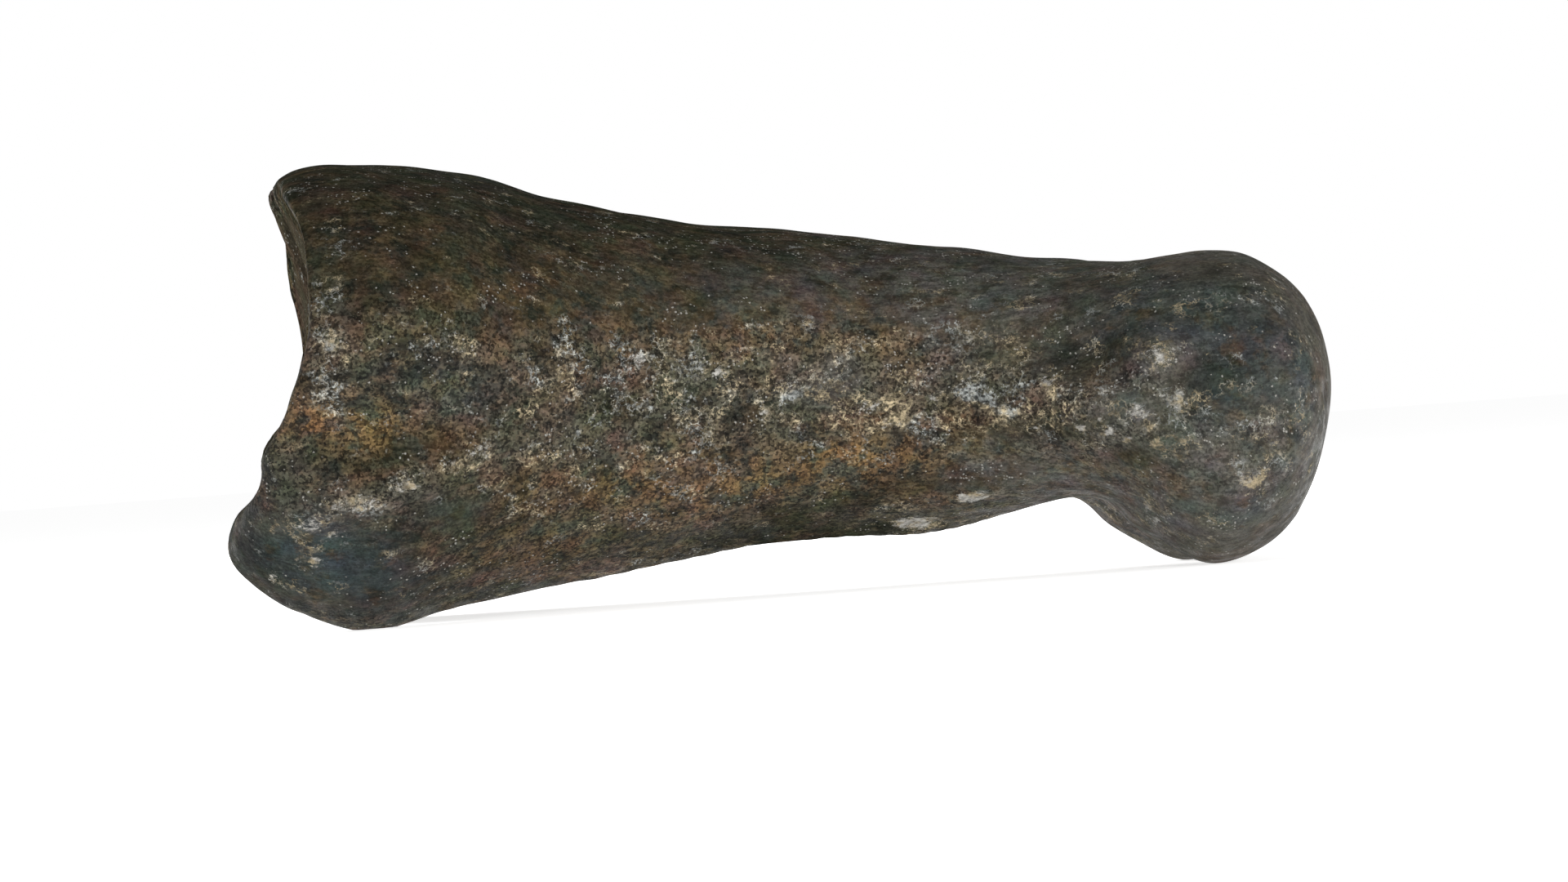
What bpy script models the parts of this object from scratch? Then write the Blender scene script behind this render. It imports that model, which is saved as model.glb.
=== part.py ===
"""Toe bone of a fossil horse: the proximal phalanx, lying on its palmar side.

One solid, because the bone grew as one piece. Its skin is a stack of closed rings that run from the joint
face at the fetlock end to the tip of the condyles. Four guide lines carry each ring: the dorsal line, the
side line, the two palmar keels and the hollow between them. Lumps, pits and ridges are then raised on it.
X runs along the bone towards the toe, Y across it, Z up from the surface that it rests on.
"""

import math

import bmesh
import bpy
import numpy as np

MM = 0.001

# Driving dimensions, in millimetres: how finely the solid is faceted, and the shape of the two joint ends.
# A pair of numbers named for an axis is a stretch of it, over which a feature grows from nothing to full.
AROUND = 68
STEPS_PER_RING = 3
QUARTER_SAMPLES = 300
JOINT_FACE_RINGS = 9
JOINT_FACE_CENTRE_Z = 22.0
FACE_MIDDLE_EDGE_Z = 16.5
FACE_MIDDLE_FADE_Y = (3.0, 13.0)
FACE_MIDDLE_SHARE = 0.1
GROOVE_DEPTH = 3.3
GROOVE_HALF_WIDTH = 3.9
GROOVE_AT_LIP = 0.5
GROOVE_FADE_Z = (18.0, 31.0)
CAVITY_DEPTH = 0.9
CAVITY_CENTRE_Y = 14.0
CAVITY_HALF_WIDTH = 9.5
FACE_TILT = 0.04
FACE_TILT_Z = (17.0, 25.0)
RIM_SET_BACK = 6.0
RIM_ROUNDING = 0.7
CONDYLE_START_X = (20.5, 27.5)
CONDYLE_AXIS = (29.3, 11.4)
CONDYLE_RADIUS = 11.3
CONDYLE_SHOULDER_FALL = 1.6
CONDYLE_SHOULDER_Y = (10.0, 20.0)
TOE_GROOVE_DEPTH = 1.7
TOE_GROOVE_HALF_WIDTH = 5.5
NEAR_SIDE_SHORTER = 0.9
NEAR_SIDE_Y = (0.0, 18.0)
NEAR_SIDE_X = (24.0, 38.0)
WORN_FOOT_DEPTH = 0.2
SWAY_START_Z = (1.0, 6.0)

# The slow unevenness of a grown bone: each wave's height, its turns along x, y and z, and where it starts.
SWAY_WAVES = [
    (0.16, 0.21, 0.33, 0.0, 0.7),
    (0.12, 0.47, 0.0, -0.29, 2.1),
    (0.10, 0.0, 0.38, 0.52, 4.0),
    (0.07, 0.81, 0.44, -0.63, 0.0),
]

# The guide lines, one point for each ring, as (x, z) in millimetres from the joint rim to the toe end.
DORSAL_LINE = [
    (-35.2, 30.2), (-35.9, 31.4), (-34.6, 32.6), (-31.8, 33.2), (-28.2, 33.05), (-24.2, 32.5),
    (-20.3, 31.6), (-15.6, 30.1), (-9.5, 28.35), (-2.0, 26.85), (6.0, 25.5), (13.5, 24.1),
    (20.0, 22.9), (25.2, 22.65), (28.4, 22.7), (31.3, 23.1), (34.2, 22.7), (36.8, 20.9),
    (38.6, 18.1), (39.7, 15.0), (39.95, 11.7),
]
SIDE_LINE = [
    (-34.4, 21.5), (-34.6, 21.0), (-33.6, 20.5), (-31.6, 19.8), (-28.9, 19.2), (-25.8, 18.6),
    (-22.2, 18.0), (-17.6, 17.2), (-11.8, 16.4), (-4.5, 15.6), (4.0, 15.1), (12.0, 14.5),
    (18.5, 13.4), (23.4, 12.4), (26.8, 11.8), (29.8, 11.6), (32.6, 11.5), (35.4, 11.6),
    (37.6, 11.6), (39.1, 11.7), (39.95, 11.7),
]
KEEL_LINE = [
    (-37.2, 13.7), (-37.9, 10.9), (-39.3, 8.7), (-39.7, 6.1), (-37.8, 3.5), (-34.5, 1.45),
    (-30.1, 0.15), (-24.8, 1.25), (-17.0, 2.35), (-8.5, 3.35), (0.5, 3.95), (9.0, 3.9),
    (15.5, 4.75), (20.3, 5.3), (23.3, 4.5), (26.2, 1.8), (29.9, -0.1), (34.2, 0.9),
    (37.1, 3.8), (39.1, 7.8), (39.95, 11.7),
]
HOLLOW_LINE = [
    (-34.6, 14.6), (-34.8, 13.0), (-34.2, 11.6), (-33.0, 10.3), (-31.4, 9.2), (-29.2, 8.3),
    (-26.4, 6.7), (-22.0, 5.2), (-15.5, 4.4), (-8.0, 4.3), (0.5, 4.6), (9.0, 4.4),
    (15.5, 5.1), (20.3, 5.6), (23.5, 5.0), (26.3, 2.6), (29.9, 0.9), (34.2, 1.7),
    (37.1, 4.3), (39.1, 8.0), (39.95, 11.7),
]

# Half the bone's width at each ring, how square its dorsal and palmar halves are (2 is round), and how far
# out the keels lie, as a share of the half width.
HALF_WIDTH = [
    22.6, 23.7, 24.6, 25.3, 25.3, 24.7, 23.6, 21.8, 19.5, 17.4, 16.1, 16.6,
    18.7, 20.8, 21.7, 21.8, 21.5, 20.9, 20.0, 18.3, 14.5,
]
DORSAL_SQUARENESS = [
    2.3, 2.3, 2.3, 2.3, 2.3, 2.2, 2.2, 2.1, 2.1, 2.1, 2.1, 2.15,
    2.3, 2.6, 2.9, 3.1, 3.3, 3.4, 3.5, 3.5, 3.5,
]
PALMAR_SQUARENESS = [
    2.7, 2.7, 2.7, 2.7, 2.7, 2.6, 2.5, 2.4, 2.3, 2.3, 2.3, 2.4,
    2.5, 2.8, 3.2, 3.6, 3.8, 3.8, 3.8, 3.8, 3.8,
]
KEEL_REACH = [
    0.62, 0.62, 0.60, 0.60, 0.60, 0.60, 0.60, 0.58, 0.54, 0.49, 0.43, 0.37,
    0.34, 0.37, 0.44, 0.46, 0.46, 0.46, 0.46, 0.46, 0.46,
]
FAR_SIDE_WIDENING = 1.03

# The last ring is pressed flat into one line across the toe end: each point's partner on the other half.
TOE_PARTNER = [(AROUND // 2 - k) % AROUND for k in range(AROUND)]

# The side view of the joint face, as (x, z) from the palmar edge to the dorsal lip.
JOINT_PROFILE = [
    (-48.0, 0.0), (-43.0, 6.5), (-39.5, 10.3), (-37.8, 12.3), (-36.7, 14.0), (-35.3, 16.0),
    (-34.2, 18.4), (-33.7, 21.5), (-33.9, 24.5), (-34.4, 27.2), (-35.2, 29.6), (-35.8, 31.4),
    (-35.8, 33.5),
]

# Lumps (height above 0) and pits (below 0): centre x, y, z, radius along x, y, z, and height, all in
# millimetres. The near side, which faces -Y, and the far side each have their own.
LUMPS = {
    "near collateral tubercle": (27.6, -21.5, 15.4, 2.6, 4.0, 2.4, 0.9),
    "near lower tubercle": (28.3, -21.5, 9.6, 2.6, 4.0, 2.2, 0.7),
    "near collateral fossa": (32.0, -21.5, 12.8, 3.6, 5.0, 4.0, -1.5),
    "near dorsal fossa": (22.8, -19.0, 16.6, 3.6, 5.0, 2.4, -0.7),
    "near palmar hollow": (19.5, -15.0, 8.4, 7.0, 5.0, 2.4, -1.1),
    "near joint hollow": (-31.5, -23.5, 13.2, 4.6, 5.0, 2.6, -1.6),
    "near palmar lip": (-36.9, -16.0, 13.4, 1.8, 6.0, 1.5, 0.6),
    "near lip notch": (-38.0, -16.0, 10.5, 1.6, 6.0, 1.3, -0.5),
    "near joint tubercle": (-27.0, -24.5, 20.5, 5.0, 4.0, 4.0, 0.7),
    "far collateral tubercle": (27.6, 22.0, 15.4, 2.8, 4.0, 2.6, 0.9),
    "far collateral fossa": (31.8, 22.0, 12.4, 4.0, 5.0, 4.2, -1.6),
    "far palmar hollow": (19.5, 15.5, 8.4, 7.0, 5.0, 2.6, -1.0),
    "far joint hollow": (-31.5, 24.0, 13.2, 4.6, 5.0, 2.6, -1.5),
    "far palmar lip": (-36.9, 16.0, 13.4, 1.8, 6.0, 1.5, 0.5),
    "far lip notch": (-38.0, 16.0, 10.5, 1.6, 6.0, 1.3, -0.5),
    "far joint tubercle": (-27.5, 25.0, 20.5, 5.0, 4.0, 4.2, 0.8),
    "near extensor swelling": (-27.0, -9.0, 33.0, 5.0, 5.0, 4.0, 0.4),
    "far extensor swelling": (-27.0, 9.5, 33.0, 5.0, 5.0, 4.0, 0.45),
    "dorsal dimple": (25.0, 0.0, 22.2, 2.6, 9.0, 4.0, -0.5),
    "palmar dimple": (21.5, 0.0, 6.0, 2.6, 5.0, 4.0, -0.6),
    "near palmar tubercle": (23.9, -11.0, 3.2, 1.6, 4.0, 2.0, 0.5),
    "far palmar tubercle": (23.9, 11.5, 3.2, 1.6, 4.0, 2.0, 0.5),
}

# Ridges: the points that each one runs through, then its radius and height, in millimetres.
RIDGES = {
    "near crest": ([(14, -17, 14.8), (19, -19, 13.6), (23.7, -20.6, 11.6), (28, -21.6, 9.2)], 1.5, 0.8),
    "far crest": ([(14, 17.4, 14.8), (19, 19.4, 13.4), (23.7, 21, 11.6), (28, 22, 9.4)], 1.7, 0.7),
    "near eminence ridge": ([(-36, -23, 7.4), (-31, -23, 8.4), (-27, -23, 9.7), (-21, -22, 12)], 1.3, 0.9),
    "far eminence ridge": ([(-36, 23.5, 7.6), (-31, 24, 8.6), (-27, 23.5, 9.9), (-21, 22.5, 12)], 1.5, 0.8),
    "near triangle ridge": ([(-14, -9.5, 2), (-2, -8.4, 3.2), (8, -7, 3.9), (15, -4.2, 4.6)], 1.5, 0.45),
    "far triangle ridge": ([(-14, 9.8, 2), (-2, 8.7, 3.2), (8, 7.2, 3.9), (15, 4.3, 4.6)], 1.5, 0.45),
}


def through(points, steps):
    """The points of a smooth line through the given ones, with an equal number of steps between each two."""
    points = np.array(points, float)
    if points.ndim == 1:
        points = points[:, None]
    padded = np.vstack([2 * points[0] - points[1], points, 2 * points[-1] - points[-2]])
    place = np.linspace(0, len(points) - 1, (len(points) - 1) * steps + 1)
    span = np.minimum(place.astype(int), len(points) - 2)
    t = (place - span)[:, None]
    before, start, end, after = (padded[span + k] for k in range(4))
    return 0.5 * (
        2 * start
        + (end - before) * t
        + (2 * before - 5 * start + 4 * end - after) * t**2
        + (3 * start - before - 3 * end + after) * t**3
    )


def smooth_step(t):
    """A soft step from 0 at t = 0 to 1 at t = 1."""
    t = np.clip(t, 0, 1)
    return t * t * (3 - 2 * t)


def grow(value, stretch):
    """How far a value has come along a stretch, from 0 at its start to 1 at its end."""
    return np.clip((value - stretch[0]) / (stretch[1] - stretch[0]), 0, 1)


def joint_profile_x(z):
    """How far along the bone the joint face lies at height z, in the side view."""
    line = through(JOINT_PROFILE, 8)
    return np.interp(z, line[:, 1], line[:, 0])


def joint_face_x(y, z):
    """The joint face: the side view's curve, two shallow cavities, and the deep groove between them."""
    cavity = np.clip(1 - ((np.abs(y) - CAVITY_CENTRE_Y) / CAVITY_HALF_WIDTH) ** 2, 0, None)
    depth = GROOVE_DEPTH * (1 - (1 - GROOVE_AT_LIP) * grow(z, GROOVE_FADE_Z))
    groove = depth * np.exp(-((y / GROOVE_HALF_WIDTH) ** 2))
    tilt = -FACE_TILT * y * grow(z, FACE_TILT_Z)
    outward = smooth_step(grow(np.abs(y), FACE_MIDDLE_FADE_Y))
    middle = joint_profile_x(np.maximum(z, FACE_MIDDLE_EDGE_Z))
    reach = FACE_MIDDLE_SHARE + (1 - FACE_MIDDLE_SHARE) * outward
    profile = middle + (joint_profile_x(z) - middle) * reach
    return profile + CAVITY_DEPTH * cavity + groove + tilt


def ring_points(dorsal, side, keel, hollow, half_width, squareness, reach, face_share):
    """One closed ring, from the dorsal line round the far side, the palmar side and the near side."""
    turn = np.linspace(0, math.pi / 2, QUARTER_SAMPLES)
    keel_rise = (1 - reach ** squareness[1]) ** (1 / squareness[1])
    keel = side + (keel - side) / keel_rise
    quarters = []
    for is_dorsal, sign in ((True, 1), (False, 1), (False, -1), (True, -1)):
        power = 2 / (squareness[0] if is_dorsal else squareness[1])
        across = np.sin(turn) ** power
        rise = np.clip(np.cos(turn), 0, 1) ** power
        if is_dorsal:
            middle = np.broadcast_to(dorsal, (len(turn), 2))
        else:
            lobe = smooth_step(across / reach)[:, None]
            middle = (1 - lobe) * hollow + lobe * keel
        xz = side + (middle - side) * rise[:, None]
        width = half_width * (FAR_SIDE_WIDENING if sign > 0 else 1)
        y = sign * width * across
        face = joint_face_x(y, xz[:, 1])
        skin = xz[:, 0] - RIM_SET_BACK * face_share
        x = (skin + face + np.sqrt((skin - face) ** 2 + RIM_ROUNDING**2)) / 2
        points = np.stack([x, y, xz[:, 1]], 1)
        if (is_dorsal, sign) in ((False, 1), (True, -1)):
            points = points[::-1]
        length = np.concatenate([[0], np.cumsum(np.linalg.norm(np.diff(points, axis=0), axis=1))])
        even = np.linspace(0, length[-1], AROUND // 4 + 1)[:-1]
        quarters.append(np.stack([np.interp(even, length, points[:, k]) for k in range(3)], 1))
    return np.concatenate(quarters)


def body_rings():
    """Every ring from the joint rim to the toe end, as an array of rings, points and x, y, z."""
    lines = [through(line, STEPS_PER_RING) for line in (DORSAL_LINE, SIDE_LINE, KEEL_LINE, HOLLOW_LINE)]
    widths, dorsal_square, palmar_square, reach = (
        through(values, STEPS_PER_RING)[:, 0]
        for values in (HALF_WIDTH, DORSAL_SQUARENESS, PALMAR_SQUARENESS, KEEL_REACH)
    )
    rings = []
    for k in range(len(widths)):
        face_share = np.clip(1.5 - k / STEPS_PER_RING, 0, 1)
        squareness = (dorsal_square[k], palmar_square[k])
        guides = [line[k] for line in lines]
        rings.append(ring_points(*guides, widths[k], squareness, reach[k], face_share))
    return np.array(rings)


def joint_face_rings(rim):
    """The rings of the joint face, from its middle point out to just inside the rim."""
    share = np.linspace(0, 1, JOINT_FACE_RINGS + 1)[:-1, None]
    y = share * rim[:, 1]
    z = JOINT_FACE_CENTRE_Z + share * (rim[:, 2] - JOINT_FACE_CENTRE_Z)
    return np.stack([joint_face_x(y, z), y, z], 2)


def turn_condyles(points):
    """The toe end's groove and the fall of its shoulders, pressed in towards the condyles' own axis."""
    x, y, z = points[..., 0], points[..., 1], points[..., 2]
    share = smooth_step(grow(x, CONDYLE_START_X))
    groove = TOE_GROOVE_DEPTH * np.exp(-((y / TOE_GROOVE_HALF_WIDTH) ** 2))
    shoulder = CONDYLE_SHOULDER_FALL * grow(np.abs(y), CONDYLE_SHOULDER_Y) ** 2
    keep = 1 - share * (groove + shoulder) / CONDYLE_RADIUS
    shorter = NEAR_SIDE_SHORTER * share * grow(-y, NEAR_SIDE_Y) * grow(x, NEAR_SIDE_X)
    x_axis, z_axis = CONDYLE_AXIS
    return np.stack([x_axis + (x - x_axis) * keep - shorter, y, z_axis + (z - z_axis) * keep], -1)


def grid_normals(points):
    """Outward normals of the rings' points, from their neighbours along and around."""
    along = np.gradient(points, axis=0)
    around = np.roll(points, -1, axis=1) - np.roll(points, 1, axis=1)
    normal = np.cross(along, around)
    normal /= np.maximum(np.linalg.norm(normal, axis=-1, keepdims=True), 1e-9)
    normal[-1] = (1, 0, 0)
    return normal


def lump_heights(points):
    """How far each point rises or sinks for the lumps, pits and ridges."""
    height = np.zeros(points.shape[:-1])
    for x, y, z, along, across, up, rise in LUMPS.values():
        offset = (points - (x, y, z)) / (along, across, up)
        height += rise * np.exp(-(offset**2).sum(-1))
    for route, radius, rise in RIDGES.values():
        line = through(route, 6)
        apart = np.linalg.norm(points[..., None, :] - line, axis=-1)
        taper = np.sin(math.pi * np.linspace(0.04, 0.96, len(line))) ** 0.6
        height += rise * (taper * np.exp(-((apart / radius) ** 2))).max(-1)
    return height


def sway(points):
    """The slow unevenness of the skin: a few long waves, under half a millimetre high, none at the feet."""
    x, y, z = points[..., 0], points[..., 1], points[..., 2]
    height = sum(
        rise * np.sin(turn_x * x + turn_y * y + turn_z * z + start)
        for rise, turn_x, turn_y, turn_z, start in SWAY_WAVES
    )
    return height * grow(z, SWAY_START_Z)


def bone_points():
    """The whole skin, as rings of points in metres, resting on Z = 0 about the middle of X and Y."""
    body = body_rings()
    points = np.concatenate([joint_face_rings(body[0]), body])
    points = turn_condyles(points)
    normal = grid_normals(points)
    points = points + normal * (lump_heights(points) + sway(points))[..., None]
    points[0] = points[0].mean(0)
    points[-1] = (points[-1] + points[-1][TOE_PARTNER]) / 2
    low = points[..., 2].min() + WORN_FOOT_DEPTH
    points[..., 2] = np.maximum(points[..., 2] - low, 0)
    for axis in (0, 1):
        points[..., axis] -= (points[..., axis].min() + points[..., axis].max()) / 2
    return points * MM


def bone_material():
    material = bpy.data.materials.new("dark_fossil_bone")
    material.use_nodes = True
    shader = material.node_tree.nodes["Principled BSDF"]
    shader.inputs["Base Color"].default_value = (0.072, 0.052, 0.038, 1)
    shader.inputs["Roughness"].default_value = 0.62
    shader.inputs["Metallic"].default_value = 0.0
    return material


def build_bone():
    points = bone_points()
    rings, around = points.shape[:2]
    bm = bmesh.new()
    pole = bm.verts.new(points[0, 0])
    rows = [[bm.verts.new(p) for p in ring] for ring in points[1:-1]]
    toe = {min(k, TOE_PARTNER[k]): None for k in range(around)}
    toe = {k: bm.verts.new(points[-1, k]) for k in toe}
    rows.append([toe[min(k, TOE_PARTNER[k])] for k in range(around)])
    for k in range(around):
        bm.faces.new((pole, rows[0][k], rows[0][(k + 1) % around]))
    for ring, after in zip(rows, rows[1:]):
        for k in range(around):
            n = (k + 1) % around
            bm.faces.new((ring[k], after[k], after[n], ring[n]))
    bmesh.ops.recalc_face_normals(bm, faces=bm.faces[:])
    mesh = bpy.data.meshes.new("toe_bone")
    bm.to_mesh(mesh)
    bm.free()
    mesh.shade_smooth()
    bone = bpy.data.objects.new("toe_bone", mesh)
    bone.data.materials.append(bone_material())
    bpy.context.scene.collection.objects.link(bone)
    return bone


for old in list(bpy.data.objects):
    bpy.data.objects.remove(old)
build_bone()
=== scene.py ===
"""The finished look of a fossil horse toe bone, lying on its palmar side on a plain pale floor.

The bone is one piece, so one fine mesh stands for the CAD node toe_bone. Its skin is the same stack of rings
as the solid, on a closer grid, with the grain, pores, pits and crust of the real surface raised on it. X runs
along the bone towards the toe, Y across it away from the side that the camera sees, Z up. The form's own
sizes are in millimetres, and the mesh is in metres.
"""

import functools
import itertools
import logging
import math
from dataclasses import dataclass, field
from enum import Enum

import bpy
import numpy as np
from mathutils import Matrix, Vector


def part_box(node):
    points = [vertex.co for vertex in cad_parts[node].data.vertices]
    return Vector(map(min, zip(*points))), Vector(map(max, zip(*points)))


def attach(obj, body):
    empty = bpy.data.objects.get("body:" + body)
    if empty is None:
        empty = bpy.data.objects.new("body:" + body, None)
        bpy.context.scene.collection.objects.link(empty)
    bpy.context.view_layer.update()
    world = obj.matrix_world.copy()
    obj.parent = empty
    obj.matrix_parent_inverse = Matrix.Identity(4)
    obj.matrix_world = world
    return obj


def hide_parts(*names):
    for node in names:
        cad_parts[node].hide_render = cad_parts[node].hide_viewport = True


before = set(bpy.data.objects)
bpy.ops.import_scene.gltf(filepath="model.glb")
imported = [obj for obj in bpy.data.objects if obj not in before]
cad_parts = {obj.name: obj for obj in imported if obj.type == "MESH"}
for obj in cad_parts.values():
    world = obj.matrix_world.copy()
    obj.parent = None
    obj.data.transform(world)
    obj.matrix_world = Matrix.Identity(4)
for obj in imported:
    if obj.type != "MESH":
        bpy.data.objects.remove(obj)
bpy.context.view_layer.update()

LOG = logging.getLogger("toe_bone")
MM = 0.001

# Rows of numbers, a place, a pair of values, a linear colour, and a soft step as low, high and what it gives.
Line = tuple[tuple[float, ...], ...]
Spot = tuple[float, float, float]
Stretch = tuple[float, float]
Colour = tuple[float, float, float, float]
Step = tuple[float, float, Stretch]
# What comes out of a material's node, and what may go into one.
Socket = bpy.types.NodeSocket
Feed = Socket | float | Colour


class Stain(Enum):
    """The finishes that lie on the bone in places, painted shade and light among them, each held by the mesh
    as an attribute of this name.
    """

    # Crust; its strip along the toe's rim, at x 38.2 to 38.4, is a painted highlight.
    CRUST = "crust"
    RUST = "rust"
    # A slate blue-grey; its strip along the toe's rim, at x 38.6, is a painted highlight.
    SLATE = "slate"
    # Painted shade: where it lies, the colour darkens towards a shade colour.
    SHADE = "shade"
    WORN = "worn"
    SUNKEN = "sunken"
    FLAKE = "flake"
    # A pale grey that lightens the colour, partly painted light, with a painted highlight along the toe's
    # rim.
    DUST = "dust"
    MATT = "matt"


def smooth_step(t: np.ndarray) -> np.ndarray:
    """A soft step from 0 at t = 0 to 1 at t = 1."""
    t = np.clip(t, 0, 1)
    return t * t * (3 - 2 * t)


def grow(value: np.ndarray, stretch: Stretch) -> np.ndarray:
    """How far a value has come along a stretch, from 0 at its start to 1 at its end."""
    return np.clip((value - stretch[0]) / (stretch[1] - stretch[0]), 0, 1)


def through(points: Line, place: np.ndarray) -> np.ndarray:
    """Points of a smooth line through the given ones.

    Between two neighbours p1 and p2 the line is the cubic that leaves p1 along half of p2 - p0 and reaches p2
    along half of p3 - p1.

    Args:
        points: The points that the line runs through.
        place: Where to read it, counted in points from the first.

    Returns:
        One row for each place.
    """
    given = np.array(points, float)
    padded = np.vstack([2 * given[0] - given[1], given, 2 * given[-1] - given[-2]])
    span = np.minimum(place.astype(int), len(given) - 2)
    t = (place - span)[:, None]
    before, start, end, after = (padded[span + k] for k in range(4))
    bend = 2 * before - 5 * start + 4 * end - after
    twist = 3 * start - before - 3 * end + after
    return 0.5 * (2 * start + (end - before) * t + bend * t**2 + twist * t**3)


def lattice(cell: np.ndarray, seed: int) -> np.ndarray:
    """A value from 0 to 1 for each whole-number point, the same one for the same point and seed."""
    key = cell.astype(np.int64).astype(np.uint32)
    mixed = key @ np.array([0x8DA6B343, 0xD8163841, 0xCB1AB31F], np.uint32) + np.uint32(seed * 7919)
    for turn, factor in ((15, 0x2C1B3C6D), (12, 0x297A2D39)):
        mixed = (mixed ^ (mixed >> np.uint32(turn))) * np.uint32(factor)
    return (mixed ^ (mixed >> np.uint32(15))) / 2.0**32


def cloud(points: np.ndarray, pitch: float, seed: int, octaves: int = 1, along: float = 1.0) -> np.ndarray:
    """Cloudy unevenness from -1 to 1: lattice values blended by a soft step, halved at each finer octave.

    Args:
        points: Where to read it, as x, y, z in millimetres.
        pitch: The size of its coarsest lumps, in millimetres.
        seed: Picks one cloud among many.
        octaves: How many sizes are added, each half the one before.
        along: How many times longer the lumps are along X than across.

    Returns:
        One value for each point.
    """
    total = np.zeros(points.shape[:-1])
    for octave in range(octaves):
        place = points / (pitch / 2**octave) / (along, 1, 1)
        cell = np.floor(place)
        share = place - cell
        share = share * share * (3 - 2 * share)
        for corner in itertools.product((0, 1), repeat=3):
            weight = np.prod(np.where(corner, share, 1 - share), axis=-1)
            total += (2 * lattice(cell + corner, seed + octave) - 1) * weight / 2**octave
    return total / (2 - 2 ** (1 - octaves))


def pores(points: np.ndarray, pitch: float, seed: int, share: float) -> np.ndarray:
    """Round pits scattered at about one pitch apart, as depth from 0 to 1.

    Each lattice cell has one spot at a random place. Its pit is a bell of random width round that spot, and
    only the given share of the spots has one. Places and widths count in cells.

    Args:
        points: Where to read it, as x, y, z in millimetres.
        pitch: The side of the cells, in millimetres.
        seed: Picks one scatter among many.
        share: Which part of the cells has a pit, from 0 to 1.

    Returns:
        One depth for each point.
    """
    first_place, place_range = 0.2, 0.6
    least_width, width_range = 0.16, 0.22
    place = points / pitch
    home = np.floor(place)
    depth = np.zeros(points.shape[:-1])
    for step in itertools.product((-1, 0, 1), repeat=3):
        cell = home + step
        spot = cell + np.stack([first_place + place_range * lattice(cell, seed + k) for k in range(3)], -1)
        apart = ((place - spot) ** 2).sum(-1)
        width = least_width + width_range * lattice(cell, seed + 3)
        present = lattice(cell, seed + 4) < share
        depth = np.maximum(depth, present * np.exp(-apart / width**2))
    return depth


@dataclass(frozen=True)
class Ridge:
    """A raised line on the skin."""

    route: Line
    radius: float
    height: float
    steps_per_span: int = 6
    end_share: float = 0.04
    bluntness: float = 0.6

    def reach(self, points: np.ndarray) -> np.ndarray:
        """How near each point is, from 1 on the line to 0 away: a bell across it, with tapered ends."""
        spans = len(self.route) - 1
        steps = self.steps_per_span * spans + 1
        line = through(self.route, np.linspace(0, spans, steps))
        taper = np.sin(math.pi * np.linspace(self.end_share, 1 - self.end_share, steps)) ** self.bluntness
        near = np.zeros(points.shape[:-1])
        for spot, share in zip(line, taper):
            near = np.maximum(near, share * np.exp(-((points - spot) ** 2).sum(-1) / self.radius**2))
        return near


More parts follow.
